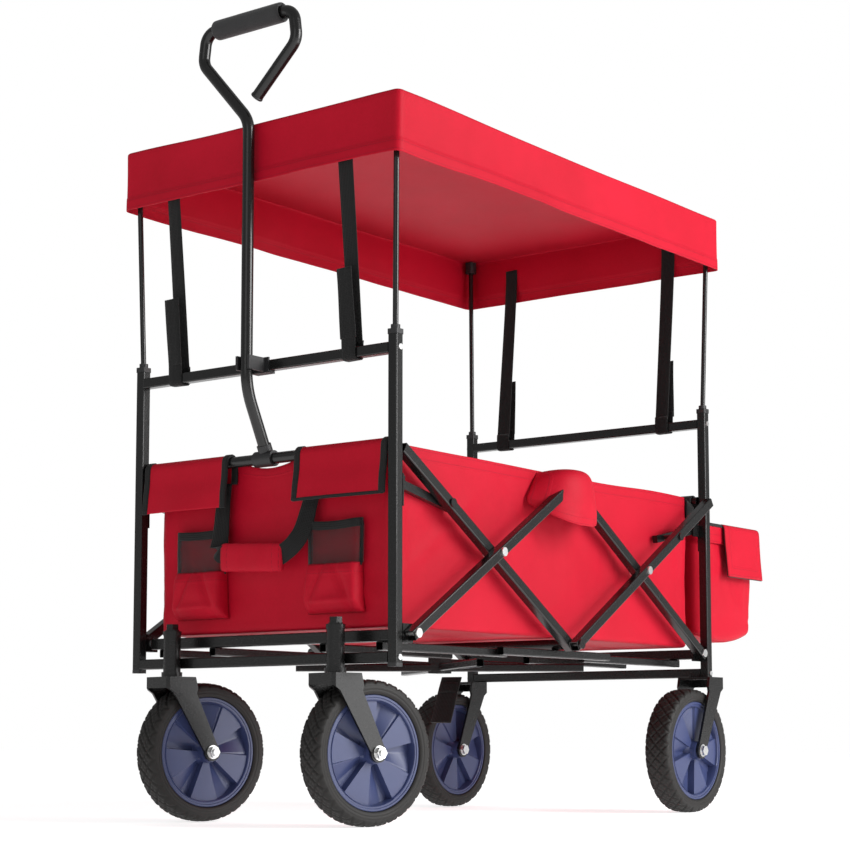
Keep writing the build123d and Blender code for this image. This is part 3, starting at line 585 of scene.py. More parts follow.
def cloth_box(name, middle, half, corner, base, rim, shape, finish, step=0.006, bend=0.006, base_rows=40):
    """Tub or lid: a flat base with walls from it to the rim. Shape moves each point, given its
    place (x, y, z from the base), its outward direction, and 1 on a wall or 0 on the base."""
    places, out, run = outline(*half, corner, step)
    up = 1 if rim > base else -1
    height = abs(rim - base)
    shares = list(np.linspace(0.006, 1, base_rows) ** 0.9)
    shares = [share for share in shares if share < 0.985] + [1.0]
    rows, walls, levels = [], [], []

    def row(line, is_wall, level):
        rows.append(line)
        walls.append(is_wall)
        levels.append(level)

    for share in shares:
        row(places * share - (out * bend if share == 1 else 0), 0.0, 0.0)
    for turn in np.radians([30, 60]):
        row(places - out * bend * (1 - math.sin(turn)), 0.5, bend * (1 - math.cos(turn)))
    for level in hem_levels(bend, height):
        row(places, 1.0, level)
    flat = np.array(rows)
    level = np.array(levels)[:, None] * np.ones(len(places))
    wall = np.array(walls)[:, None] * np.ones(len(places))
    points = np.concatenate([flat, level[..., None]], axis=2)
    moved = shape(points.copy(), np.broadcast_to(out, flat.shape), wall)
    x, y = moved[..., 0] + middle[0], moved[..., 1] + middle[1]
    world = np.stack([x, y, base + up * moved[..., 2]], axis=-1)
    closed = np.arange(len(places) + 1) % len(places)
    weave = np.stack([np.broadcast_to(run, (len(flat), len(run))), level[:, closed]], axis=-1)
    for number, is_wall in enumerate(walls):
        if is_wall == 0:
            weave[number] = flat[number][closed]
    hem = np.stack([np.broadcast_to(run, (len(flat), len(run))), height - level[:, closed]], axis=-1)
    made = surface(name, world, weave, hem, finish, ring=True)
    close_with(made, range(len(places)))
    return made


def push_walls(p, out, wall, push):
    """Moves the wall's points outwards and leaves the base."""
    for axis in (0, 1):
        p[..., axis] += out[..., axis] * push * (wall > 0.9)


def hem_levels(start, height, step=0.007):
    """Heights of a wall's rows: even, and closer together inside the hem."""
    fine = [height - d for d in (0.0195, 0.0175, 0.010, 0.004, 0.0015, 0.0)]
    even = list(np.linspace(start, fine[0] - step * 0.6, max(3, int((fine[0] - start) / step))))
    return even + fine


wave = swell(np.linspace(0, 1, 101), 0.0, 5, 0.22)
print("slack swings between", round(float(wave.min()), 2), "and", round(float(wave.max()), 2))

# %% [markdown]
# ## The basket
# The basket is one tub of red cloth. On the frame model it is three stiff sections that pass inside each other, so
# here one continuous tub stands for all three, and it rides on the front frame. Its walls hang from the top edge and
# are a little slack: soft creases run from the corners and from the crossing links, and the floor sags between its
# rails.

# %% Basket tub
WALL = TUB_TOP - TUB_FLOOR


def basket_shape(p, out, wall):
    """Slack walls with creases, a dip at the middle of the front edge, and a soft floor."""
    x, y, z = p[..., 0], p[..., 1], p[..., 2]
    side = np.abs(out[..., 1]) > 0.7
    along = np.where(side, x, y)
    seed = np.where(out[..., 1] < -0.7, 1.0, 0.0)
    middle = np.sin(math.pi * np.clip(z / WALL, 0, 1)) ** 0.8
    slack = 0.0016 * swell(along + seed * 3, z * 1.6, 5, 0.22) + 0.0007 * swell(along, z, 9, 0.07)
    folds = sum(deep * crease(x, z, start, end, wide) for start, end, wide, deep in SIDE_CREASES)
    front_folds = sum(deep * crease(y, z, start, end, wide) for start, end, wide, deep in FRONT_CREASES)
    front = out[..., 0] < -0.7
    push = np.where(side, slack * middle + folds, slack * middle * 1.4 + np.where(front, front_folds, 0))
    push_walls(p, out, wall, push + np.where(z > WALL - HEM_DEPTH, HEM_STEP, 0.0))
    top = np.clip((z - WALL * 0.6) / (WALL * 0.4), 0, 1) ** 2
    edge_wave = 0.0022 * swell(along, 0.0, 21, 0.35)
    dip = np.where(front & (np.abs(y) < 0.075), -0.016 * np.cos(np.clip(y / 0.075, -1, 1) * math.pi / 2) ** 1.2, 0)
    p[..., 2] += np.where(wall > 0.9, (edge_wave + dip) * top, 0.0)
    floor = (wall < 0.3) * 1.0
    p[..., 2] += floor * 0.0012 * (1 + swell(x, y, 33, 0.16)) * (1 - (np.abs(x) / PANEL_X) ** 8)
    return p


SIDE_CREASES = [((-0.395, 0.06), (-0.20, 0.20), 0.010, 0.0022), ((-0.16, 0.245), (-0.02, 0.13), 0.009, -0.0016),
                ((0.10, 0.24), (0.16, 0.10), 0.008, 0.0014), ((0.05, 0.245), (0.02, 0.16), 0.007, -0.0014),
                ((0.38, 0.03), (0.22, 0.12), 0.012, 0.0018), ((-0.385, 0.235), (-0.372, 0.03), 0.009, 0.0020),
                ((0.385, 0.235), (0.376, 0.04), 0.009, 0.0016), ((-0.05, 0.02), (0.03, 0.07), 0.010, 0.0014)]
FRONT_CREASES = [((0.205, 0.02), (0.12, 0.09), 0.012, 0.0040), ((-0.20, 0.03), (-0.13, 0.08), 0.012, 0.0030),
                 ((0.07, 0.24), (0.10, 0.13), 0.009, -0.0024), ((-0.07, 0.24), (-0.10, 0.14), 0.009, -0.0024),
                 ((0.195, 0.22), (0.20, 0.06), 0.011, 0.0028)]
basket = cloth_box("basket_tub", (MID, 0), (PANEL_X, TUB_HALF), 0.014, TUB_FLOOR + 0.0012, TUB_TOP,
                   basket_shape, red_cloth)
freeze(basket, CLOTH)
print("basket tub", faces(basket), "faces")

# %% [markdown]
# ## Canopy
# The canopy is a shallow lid of the same cloth, stretched over four corner caps. A stretched
# sheet is highest at its corners and sags between them, and the valance hangs from the edge, so
# its free hem ripples. One curved surface gives top and valance together.

# %% Canopy
canopy_half = ((canopy_high.x - canopy_low.x) / 2, (canopy_high.y - canopy_low.y) / 2)
DROP = canopy_high.z - canopy_low.z


def canopy_shape(p, out, wall):
    """Sagging top, crisp upper edge and a valance that ripples towards its hem."""
    x, y, z = p[..., 0], p[..., 1], p[..., 2]
    u, v = x / canopy_half[0], y / canopy_half[1]
    sag = (1 - np.clip(np.abs(u), 0, 1) ** 2.4) * (1 - np.clip(np.abs(v), 0, 1) ** 2.4)
    edge = (1 - np.clip(np.abs(u * v), 0, 1) ** 1.5)
    top = 0.007 * sag + 0.0025 * edge + 0.0008 * swell(x, y, 3, 0.3)
    top += 0.0016 * crease(x, y, (canopy_half[0], canopy_half[1]), (0.2, 0.08), 0.02)
    top += 0.0016 * crease(x, y, (-canopy_half[0], -canopy_half[1]), (-0.2, -0.08), 0.02)
    side = np.abs(out[..., 1]) > 0.7
    along = np.where(side, x, y)
    reach = np.where(side, canopy_half[0], canopy_half[1])
    free = np.clip(z / DROP, 0, 1)
    slack = np.sin(math.pi * np.clip((along / reach + 1) / 2, 0, 1)) ** 0.5
    ripple = free ** 1.6 * (0.0030 * swell(along, z * 0.3, 11, 0.30) + 0.0016 * swell(along, z, 17, 0.11)) * slack
    pull = -0.0035 * np.sin(math.pi * free) * slack * (1 - free * 0.3)
    push_walls(p, out, wall, ripple + pull + np.where(z > DROP - HEM_DEPTH, HEM_STEP, 0.0))
    lift = free ** 2 * 0.0025 * swell(along, 0.0, 23, 0.33) * slack
    p[..., 2] += np.where(wall > 0.9, edge * 0.0020 * (1 - free) - lift, top)
    return p


canopy = cloth_box("canopy_cloth", ((canopy_low.x + canopy_high.x) / 2, 0), canopy_half, 0.010, canopy_high.z,
                   canopy_low.z, canopy_shape, red_cloth, bend=0.004)
freeze(canopy, 0.0012)
print("canopy", faces(canopy), "faces")

# %% [markdown]
# ## Front flaps
# At each side of the pull handle the front panel runs up behind the rim tube, over it and down the front as a flap,
# which a strip of hook tape holds. Its two side edges are bound with black tape. The flap is a sheet bent over the
# tube, and its lower edge stands off a little. On the left flap a thin black strip along that lower edge is painted
# shadow: the dark line under the lifted edge.

# %% Flaps over the rim tube
RIM_X, RIM_Z = PANEL_X + 0.013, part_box("front_flaps_and_grip")[1].z - 0.0105
flap_inner, flap_outer = 0.066, TUB_HALF + 0.0085
TAPE = 0.011


def flap_line(reach=0.0103, drop=0.066, stand=0.006, behind=0.030):
    """The flap's section, from behind the panel over the tube to its lower edge: x ahead and z."""
    line = [(-reach + 0.0005, -behind), (-reach, -behind * 0.5), (-reach, 0.0)]
    line += [(-reach * math.cos(t), reach * math.sin(t)) for t in np.radians([30, 60, 90, 120, 150])]
    line += [(reach + stand * out, -drop * down) for out, down in ((0, 0), (0.2, 0.33), (0.7, 0.66), (1, 1))]
    return np.array(line)


def flap(name, side):
    """One red flap with its black edge tape and, on the left flap, a black strip of painted shadow along the lower
    edge.
    """
    section = curve_through(flap_line(), 0.004)
    run = distance(section)
    total = run[-1]
    across = np.linspace(flap_inner, flap_outer, 40)
    s, a = np.meshgrid(run, across, indexing="ij")
    free = np.clip((s - total * 0.5) / (total * 0.5), 0, 1)
    bump = free * 0.0022 * swell(a * 1.2 + side, s, 41 + side, 0.12)
    bump += free ** 2 * 0.003 * np.sin((a - flap_inner) * 22)
    ahead = np.broadcast_to(section[:, :1], s.shape) + bump
    world = np.stack([MID - RIM_X - ahead, side * a, np.broadcast_to(RIM_Z + section[:, 1:2], s.shape)], axis=-1)
    weave = np.stack([a, s], axis=-1)
    hem = np.stack([a, np.full_like(a, PLAIN)], axis=-1)
    cloth = surface(name, world, weave, hem, red_cloth)
    freeze(cloth, CLOTH, 1)
    edges = [world[:, 0], world[:, -1]]
    tapes_and_shadow_strip = []
    for number, edge in enumerate(edges):
        inward = side * (1 if number == 0 else -1)
        line = edge + np.array([0, inward * TAPE * 0.25, 0])
        tapes_and_shadow_strip.append(freeze(ribbon(f"{name}_tape{number}", line, (0, 1, 0), TAPE, 0.0042, webbing)))
    # On the left flap only, a thin black strip along the lower edge is painted shadow: the dark line under the lifted
    # edge.
    if side < 0:
        low = world[-1] + np.array([0, 0, 0.001])
        tapes_and_shadow_strip.append(freeze(ribbon(f"{name}_painted_shadow_strip", low, (0, 0, 1), 0.0045, 0.0034, webbing)))
    return cloth, join(name + "_binding", *tapes_and_shadow_strip)


flaps = {name: flap(f"{name}_front_flap", side) for name, side in SIDES.items()}
print("flaps", [faces(*pair) for pair in flaps.values()], "faces")

# %% [markdown]
# ## Hoods over the top pivots
# A shaped piece is sewn to the top hem at the middle of each side and hangs over the links' top pivot, so that no
# finger or cargo gets into it. It rises over the links and drapes down outside them. It belongs half to one link and
# half to the other, and here it rides on neither.

# %% Pivot hoods
HOOD_RUN = 0.17
HOOD_PATH = [(0.001, -0.004), (0.004, 0.0005), (0.014, 0.0025), (0.032, 0.0025), (0.046, -0.0010),
             (0.053, -0.012), (0.0560, -0.034), (0.0555, -0.060), (0.0530, -0.084)]


def hood(name, side):
    """Draped hood over one top pivot."""
    path = curve_through([(ahead, TUB_TOP + rise) for ahead, rise in HOOD_PATH], 0.005)
    share = np.linspace(0, 1, len(path))[:, None]
    a = np.linspace(-1, 1, 37)[None, :]
    half = 0.050 + 0.034 * np.clip(share * 1.2, 0, 1) ** 0.9
    tucked = np.abs(a) ** 2.6
    fold = 0.0016 * np.sin(share * 3.1) * swell(a * 0.09 + side, share * 0.1, 51, 0.07) * (1 - tucked)
    curl = np.clip(share - 0.8, 0, 1) * 0.010 * (1 - np.abs(a))
    out = path[:, :1] * (1 - tucked) + (0.0016 + 0.004 * share) * tucked + fold + curl
    up = path[:, 1:2] * (1 - tucked) + (TUB_TOP - 0.003 - 0.050 * share) * tucked
    x = MID + a * half
    world = np.stack([np.broadcast_to(x, out.shape), side * (TUB_HALF + 0.001 + out), up], axis=-1)
    run = share * HOOD_RUN
    weave = together(a * half, run)
    edge = np.minimum((1 - np.abs(a)) * half, HOOD_RUN - run)
    hem = np.stack([np.broadcast_to(a * half + run, edge.shape), edge], axis=-1)
    return freeze(surface(name, world, weave, hem, red_cloth), CLOTH, 1)


hoods = {name: hood(f"{name}_pivot_hood", side) for name, side in SIDES.items()}
print("hoods", faces(*hoods.values()), "faces")

# %% [markdown]
# ## Tyres
# A tyre is a section swept round the axle. The section's points are set close together over the
# tread, so that two families of slanting grooves can be pressed into it, which leaves the raised
# diamonds. The sidewalls stay smooth, with two moulded rings.

# %% Wheels' places
WHEELS = {}
for name in SIDES:
    for end, turn in (("front", -13.0), ("rear", 0.0)):
        tyre_low, tyre_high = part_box(f"{name}_{end}_tyre")
        centre = ((tyre_low.x + tyre_high.x) / 2, (tyre_low.y + tyre_high.y) / 2, (tyre_low.z + tyre_high.z) / 2)
        WHEELS[f"{name}_{end}"] = (np.array(centre), math.radians(turn))
TYRE_R = (tyre_high.z - tyre_low.z) / 2


def round_axle(section, angles, turn, centre, change=None):
    """Sweeps a closed section of (across, radius) round a wheel's axle."""
    across, radius = section[:, 0][:, None], section[:, 1][:, None]
    angle = angles[None, :]
    across, radius, angle = np.broadcast_arrays(across, radius, angle)
    if change:
        across, radius = change(across, radius, angle)
    x, y, z = radius * np.cos(angle), across, radius * np.sin(angle)
    return np.stack([centre[0] + x * math.cos(turn) - y * math.sin(turn),
                     centre[1] + x * math.sin(turn) + y * math.cos(turn), centre[2] + z], axis=-1)


def press_tread(across, radius, angle):
    """Grooves that cross in diamonds over the tread and fade on the shoulders."""
    round_count = 30
    a = angle / (2 * math.pi) * round_count
    b = across / 0.0205
    grooves = np.minimum(np.abs((a + b) % 1 - 0.5), np.abs((a - b) % 1 - 0.5))
    cut = 1 - np.clip((grooves - 0.045) / 0.07, 0, 1)
    inner = np.minimum(np.abs((a + b + 0.5) % 1 - 0.5), np.abs((a - b + 0.5) % 1 - 0.5))
    cut = np.maximum(cut, 0.35 * (1 - np.clip((inner - 0.02) / 0.05, 0, 1)))
    on_tread = np.clip((radius - 0.0925) / 0.003, 0, 1)
    return across * (1 - 0.03 * cut * on_tread), radius - 0.0021 * cut * on_tread


TYRE_HALF_SECTION = [(0.0188, 0.0792), (0.0203, 0.0803), (0.0212, 0.0830), (0.0217, 0.0850), (0.0212, 0.0856),
                     (0.0218, 0.0863), (0.0220, 0.0895), (0.0216, 0.0902), (0.0219, 0.0910), (0.0214, 0.0932),
                     (0.0205, 0.0952), (0.0190, 0.0971), (0.0170, 0.0984)]
crown = [(y, 0.1 - 0.0011 * (y / 0.015) ** 2) for y in np.linspace(0.0155, -0.0155, 27)]
tyre_section = np.array(TYRE_HALF_SECTION + crown + [(-a, r) for a, r in TYRE_HALF_SECTION[::-1]])
tyre_section[:, 1] *= TYRE_R / 0.1
tyres = {}
tyre_angles = np.linspace(0, 2 * math.pi, 420, endpoint=False)
for wheel, (centre, turn) in WHEELS.items():
    round_points = round_axle(tyre_section, tyre_angles, turn, centre, press_tread)
    tyres[wheel] = surface(f"{wheel}_tread", round_points, finish=rubber, ring=True, tube=True)
print("tyres", faces(*tyres.values()), "faces")

# %% [markdown]
# ## Hubs
# Each hub has five raised flat wedges and, between them, five hollows with one steep wall and
# one long slope, like a pinwheel. The face is a disc of points in rings, and its depth at each
# point follows from the angle, so wedges, slopes, rim ring and boss are one mesh.

# %% Hubs
WEDGES = 5


def hub_depth(radius, angle):
    """How far the hub's face stands from the wheel's middle plane."""
    part = (angle * WEDGES / (2 * math.pi)) % 1
    steep = np.clip(part / 0.02, 0, 1)
    slope = np.clip((part - 0.16) / 0.30, 0, 1)
    hollow = 0.0150 - 0.0105 * steep + 0.0075 * slope
    raised = np.clip((part - 0.485) / 0.012, 0, 1)
    face = hollow * (1 - raised) + 0.0150 * raised
    face = np.where(part > 0.985, 0.0150, face)
    blend = np.clip((radius - 0.0150) / 0.004, 0, 1) * (1 - np.clip((radius - 0.0698) / 0.0012, 0, 1))
    base = np.where(radius < 0.04, 0.0150, 0.0186)
    depth = face * blend + base * (1 - blend)
    depth = np.where(radius < 0.0152, 0.0242, depth)
    depth = np.where((radius > 0.0722) & (radius < 0.0752), 0.0174, depth)
    return np.where(radius > 0.0782, 0.0180, depth)


rings = np.array([0.0053, 0.0120, 0.0146, 0.0153, 0.0165, 0.0190, *np.linspace(0.023, 0.0690, 14), 0.0698, 0.0703,
                  0.0708, 0.0718, 0.0724, 0.0735, 0.0748, 0.0756, 0.0770, 0.0780, 0.0788])
hub_section = np.vstack([np.c_[np.ones(len(rings)), rings], np.c_[-np.ones(len(rings)), rings[::-1]]])
even_angles = np.linspace(0, 2 * math.pi, 240, endpoint=False)
steep_edges = np.array([0.004, 0.02, 0.485, 0.497, 0.984, 0.998])
wedge_angles = [(k + steep_edges) * 2 * math.pi / WEDGES for k in range(WEDGES)]
ANGLES = np.sort(np.concatenate([even_angles, *wedge_angles]))


def press_hub(across, radius, angle):
    """Depth of both faces; the far face turns the other way, so both look alike."""
    side = np.sign(across)
    return side * hub_depth(radius, np.where(side > 0, angle, -angle)), radius


hubs = {}
HUB_STARTS = {"left_front": 0.2, "right_front": 0.55, "left_rear": 0.9, "right_rear": 0.35}
spun = round_axle(hub_section, ANGLES, 0.0, (0, 0, 0), press_hub)
for wheel, (centre, turn) in WHEELS.items():
    sine, cosine = math.sin(HUB_STARTS[wheel]), math.cos(HUB_STARTS[wheel])
    x, z = spun[..., 0] * cosine - spun[..., 2] * sine, spun[..., 0] * sine + spun[..., 2] * cosine
    y = spun[..., 1]
    placed = np.stack([centre[0] + x * math.cos(turn) - y * math.sin(turn),
                       centre[1] + x * math.sin(turn) + y * math.cos(turn), centre[2] + z], axis=-1)
    hubs[wheel] = surface(f"{wheel}_wedge_hub", placed, finish=hub_blue, ring=True, tube=True)
    hubs[wheel].data.set_sharp_from_angle(angle=math.radians(28))
print("hubs", faces(*hubs.values()), "faces")

# %% [markdown]
# ## Front pockets
# Two pockets are sewn to the front panel. The lower part is a pleated gusset of red cloth that
# stands out from the panel, the upper part is net, and a black elastic tape gathers the mouth.
# One path round the pocket, drawn at each height with its own depth and width, gives all parts.

# %% Pockets
POCKET_Y, POCKET_LOW, POCKET_TOP = 0.126, 0.291, 0.420
PANEL_FACE = MID - PANEL_X - 0.0022


def pocket_section(half, deep, count=44):
    """Path round the pocket at one height: (across, ahead)."""
    soft = min(0.010, deep * 0.6)
    right = [(half - soft, deep), (half - soft * 0.3, deep - soft * 0.3), (half, deep * 0.5), (half, 0.0)]
    path = [(-across, ahead) for across, ahead in right[::-1]] + [(0, deep * 1.02)] + right
    path = curve_through(path, 0.0005)
    picks = np.linspace(0, len(path) - 1, count).astype(int)
    return path[picks]


def pocket_rows(levels, seed):
    """Rows of points for a range of heights, 0 at the pocket's foot and 1 at its mouth."""
    rows = []
    for level in levels:
        deep = np.interp(level, [0, 0.04, 0.12, 0.45, 0.55, 1], [0.003, 0.016, 0.0245, 0.0220, 0.0165, 0.0135])
        half = np.interp(level, [0, 0.10, 0.5, 0.56, 0.92, 1], [0.049, 0.047, 0.0445, 0.0455, 0.0465, 0.0440])
        path = pocket_section(half, deep)
        share = np.linspace(-1, 1, len(path))
        front = np.clip(1 - np.abs(share) * 1.1, 0, 1) ** 0.5
        pleat = 0.0
        if level < 0.56:
            pleat = -0.0060 * crease(share, level, (-0.62, 0.02), (-0.12, 0.52), 0.07)
            pleat += -0.0065 * crease(share, level, (0.66, 0.02), (0.20, 0.52), 0.07)
            pleat += 0.0025 * crease(share, level, (-0.5, 0.14), (0.5, 0.10), 0.05)
        ahead = path[:, 1] + front * (pleat + 0.0018 * swell(share * 0.05, level * 0.15, seed, 0.07))
        height = POCKET_LOW + (POCKET_TOP - POCKET_LOW) * level - 0.004 * (1 - share ** 2) * level ** 3
        rows.append(np.stack([ahead, path[:, 0], height], axis=-1))
    return np.array(rows)


def pocket(name, side):
    """Gusset, net and elastic of one pocket, as one object on the front panel."""

    def stand(rows):
        ahead = PANEL_FACE - np.maximum(rows[..., 0], 0.0004)
        return np.stack([ahead, side * POCKET_Y + rows[..., 1], rows[..., 2]], axis=-1)

    made = []
    parts = (("gusset", 0.0, 0.53, 30, red_cloth, 0.0012), ("net", 0.515, 1.0, 16, netting, 0.0004))
    for part, low, high, count, finish, thickness in parts:
        rows = stand(pocket_rows(np.linspace(low, high, count), 61 + side))
        run = distance(rows[count // 2])
        rise = rows[:, 0, 2] - POCKET_LOW
        weave = together(run[None, :], rise[:, None])
        hem = together(run[None, :], np.maximum(0.0, rise.max() - rise)[:, None] + 0.002)
        made.append(freeze(surface(f"{name}_{part}", rows, weave, hem, finish), thickness))
    mouth = stand(pocket_rows([0.965], 61 + side))[0]
    mouth = curve_through(mouth[::3], 0.004) - np.array([0.0009, 0, 0])
    made.append(ribbon(name + "_elastic", mouth, (0, 0, 1), 0.012, 0.0022, webbing))
    for edge in (2, -3):
        column = stand(pocket_rows(np.linspace(0.50, 0.98, 12), 61 + side))[:, edge]
        column = column - np.array([0.0012, 0, 0])
        made.append(ribbon(f"{name}_edge{edge}", column, (0.35, 1, 0), 0.0070, 0.0020, webbing))
    return join(name, *made)


pockets = {name: pocket(f"{name}_front_pocket", side) for name, side in SIDES.items()}
print("pockets", faces(*pockets.values()), "faces")

# %% [markdown]
# ## Carry strap and its grip
# The front end is lifted by a loop of webbing that comes out from under the flaps. Its middle is
# wrapped in a padded sleeve of red cloth. The webbing twists a little as it hangs, so its width
# turns from lying on the panel to lying in the sleeve.

# %% Carry strap
GRIP_Y, GRIP_Z, GRIP_HALF = 0.012, 0.374, 0.058
STRAP_X = PANEL_FACE - 0.0035
strap_parts = []
for side in SIDES.values():
    end_y = GRIP_Y + side * (GRIP_HALF - 0.012)
    path = [(0.002, side * 0.083, 0.486), (0.004, side * 0.084, 0.460), (0.010, side * 0.081, 0.432),
            (0.017, side * 0.077, 0.406), (0.022, side * 0.069 + GRIP_Y * 0.5, 0.386),
            (0.022, end_y, GRIP_Z + 0.004 * side)]
    line = curve_through([(STRAP_X - ahead, across, height) for ahead, across, height in path], 0.004)
    share = np.linspace(0, 1, len(line))[:, None]
    lying = share ** 1.5
    level = np.array([[0, 1.0, 0]]) * (1 - lying) + np.array([[0.15 * side, 0.0, 1.0]]) * lying * 1.2
    strap_parts.append(ribbon(f"carry_strap_{side}", line, level, 0.027, 0.0024, webbing))
carry = join("front_carry_strap", *strap_parts)
print("carry strap", faces(carry), "faces")

# %% [markdown]
# ## The strap's padded grip
# The sleeve round the strap is a soft flattened tube, fuller in its middle than at its ends. A
# superellipse gives that section: powers below one make a circle squarer, so the sleeve is flat
# where it lies against the hand and rounded at its edges.

# %% Padded grip
grip_run = np.linspace(-1, 1, 33)[:, None]
grip_turn = np.linspace(0, 2 * math.pi, 40, endpoint=False)[None, :]
plump = (1 - np.abs(grip_run) ** 6) ** 0.35
wide = 0.0205 * (0.90 + 0.10 * plump) + 0.0004 * np.sin(grip_run * 17)
thick = 0.0026 + 0.0034 * plump + 0.0005 * swell(grip_run * 0.06, grip_turn * 0.01, 71, 0.03)
z = np.sign(np.sin(grip_turn)) * np.abs(np.sin(grip_turn)) ** 0.75 * wide
x = np.sign(np.cos(grip_turn)) * np.abs(np.cos(grip_turn)) ** 0.75 * thick
y = GRIP_Y + grip_run * GRIP_HALF + x * 0
grip_points = np.stack([STRAP_X - 0.022 + x, y, GRIP_Z + z + 0.05 * (y - GRIP_Y)], axis=-1)
closed_turn = np.linspace(0, 2 * math.pi, 41)[None, :]
weave = together(grip_run * GRIP_HALF, closed_turn * 0.0115)
hem = together(closed_turn * 0.0115, (1 - np.abs(grip_run)) * GRIP_HALF)
grip = surface("carry_strap_grip", grip_points, weave, hem, red_cloth, ring=True)
close_with(grip, range(40))
close_with(grip, [32 * 40 + k for k in range(40)][::-1])
print("grip", faces(grip), "faces")

# %% [markdown]
# ## Canopy straps
# Four straps hold the canopy down. Each is sewn inside the valance, runs down behind the upper
# crossbar, turns under it and doubles back up the outside, where its loose end is held by hook
# tape and fans out a little.

# %% Straps from the canopy to the bars
STRAP_WIDTH = 0.025
BAR_Z = bar_high - TUBE / 2


def canopy_strap(name, end, y):
    """One strap, end -1 at the front and 1 at the rear."""
    half = TUBE / 2 + 0.0012
    near, far, under = POST_X - half, POST_X + half, -half - 0.0002
    inside = canopy_half[0] - 0.0035
    held = [(near + 0.004, 0.035), (near + 0.0005, 0.018), (near, 0.007), (near, -0.006), (near + 0.003, under),
            (far - 0.003, under), (far, -0.006), (far + 0.0003, 0.008), (far + 0.001, 0.030)]
    held = [(x, 0, BAR_Z + z) for x, z in held]
    held = curve_through([(inside, 0, canopy_high.z - 0.028), (inside - 0.002, 0, canopy_low.z + 0.01), *held], 0.004)
    loose = [(far + 0.0012, 0.020), (far + 0.0035, 0.055), (far + 0.0055, 0.090), (far + 0.0075, 0.118)]
    loose = curve_through([(x, 0, BAR_Z + z) for x, z in loose], 0.004)
    made = []
    for part, line, lean, wide in (("held", held, 0.0, 1), ("loose", loose, 0.03, 1.08)):
        share = np.linspace(0, 1, len(line))
        drift = lean * share * 0.1 + (0.0006 * np.sin(share * 5 + end + y * 20) if part == "held" else 0)
        world = np.stack([MID + end * line[:, 0], y + drift, line[:, 2]], axis=-1)
        side = np.stack([0.05 * np.sin(share * 4 + y * 9), np.ones_like(share), lean * share * 6], axis=-1)
        made.append(ribbon(f"{name}_{part}", world, side, STRAP_WIDTH * wide, 0.0017, webbing))
    return join(name, *made)


strap_low, strap_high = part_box("front_canopy_straps")
STRAP_Y = strap_high.y - STRAP_WIDTH / 2
canopy_straps = {}
for end_name, end in (("front", -1), ("rear", 1)):
    made = [canopy_strap(f"{end_name}_{name}_canopy_strap", end, side * STRAP_Y) for name, side in SIDES.items()]
    canopy_straps[end_name] = join(f"{end_name}_canopy_webbing", *made)
print("canopy straps", faces(*canopy_straps.values()), "faces")

# %% [markdown]
# ## Rear bag
# Behind the rear posts hangs a bag across the whole width. Its bottom panel is sewn to curved side panels, so it
# bellies down in the middle, and a shallow groove follows that seam. The lid has a piped edge and a flap that folds
# down over the left end, lined in black.

# %% Bag and lid
bag_half = ((bag_high.x - bag_low.x) / 2, (bag_high.y - bag_low.y) / 2)
bag_middle = ((bag_high.x + bag_low.x) / 2, 0)
BAG_WALL = bag_high.z - bag_low.z


def bag_shape(p, out, wall):
    """Belly below, slack walls, and a seam where the bottom panel is sewn in."""
    x, y, z = p[..., 0], p[..., 1], p[..., 2]
    side = np.abs(out[..., 1]) > 0.7
    along = np.where(side, x, y)
    low = np.clip(1 - z / 0.055, 0, 1)
    u = x / bag_half[0]
    belly = 0.016 * (1 - np.clip(np.abs(u), 0, 1) ** 2) - 0.004 * u
    p[..., 2] -= belly * low
    push = 0.0020 * swell(along * 1.2, z * 1.5, 81, 0.14) + 0.003 * np.sin(math.pi * np.clip(z / BAG_WALL, 0, 1))
    push += 0.0026 * crease(along, z, (-0.06, 0.16), (0.03, 0.04), 0.010) * side
    push += 0.0018 * crease(along, z, (0.06, 0.15), (0.05, 0.03), 0.008) * side
    seam = -0.0012 * np.exp(-((z - 0.022) / 0.003) ** 2)
    keep_off = np.where(out[..., 0] < -0.5, 0.2, 1.0)
    push_walls(p, out, wall, push * keep_off + seam)
    return p


bag = cloth_box("rear_bag_shell", bag_middle, (bag_half[0] - 0.001, bag_half[1] - 0.004), 0.016, bag_low.z,
                bag_high.z - 0.002, bag_shape, red_cloth, bend=0.008)
freeze(bag, CLOTH)
print("bag", faces(bag), "faces")

# %% [markdown]
# ## The bag's lid
# The lid is a shallow box of the same kind, turned over: a crowned top and a short skirt. Its
# edge is piped, which is a thin cord sewn into the seam, and the flap on the left end has a black
# lining, so it is two sheets of cloth a little apart.

# %% Lid, piping and flap
def lid_shape(p, out, wall):
    """Softly crowned top and a short skirt with a slack hem."""
    x, y, z = p[..., 0], p[..., 1], p[..., 2]
    crown = (1 - np.clip(np.abs(x / lid_half[0]), 0, 1) ** 3) * (1 - np.clip(np.abs(y / lid_half[1]), 0, 1) ** 3)
    along = np.where(np.abs(out[..., 1]) > 0.7, x, y)
    p[..., 2] += np.where(wall > 0.9, 0, -0.0040 * crown + 0.001 * swell(x, y, 91, 0.12))
    push = 0.0012 * swell(along, z, 93, 0.10) * np.clip(z / 0.03, 0, 1)
    push_walls(p, out, wall, push)
    return p


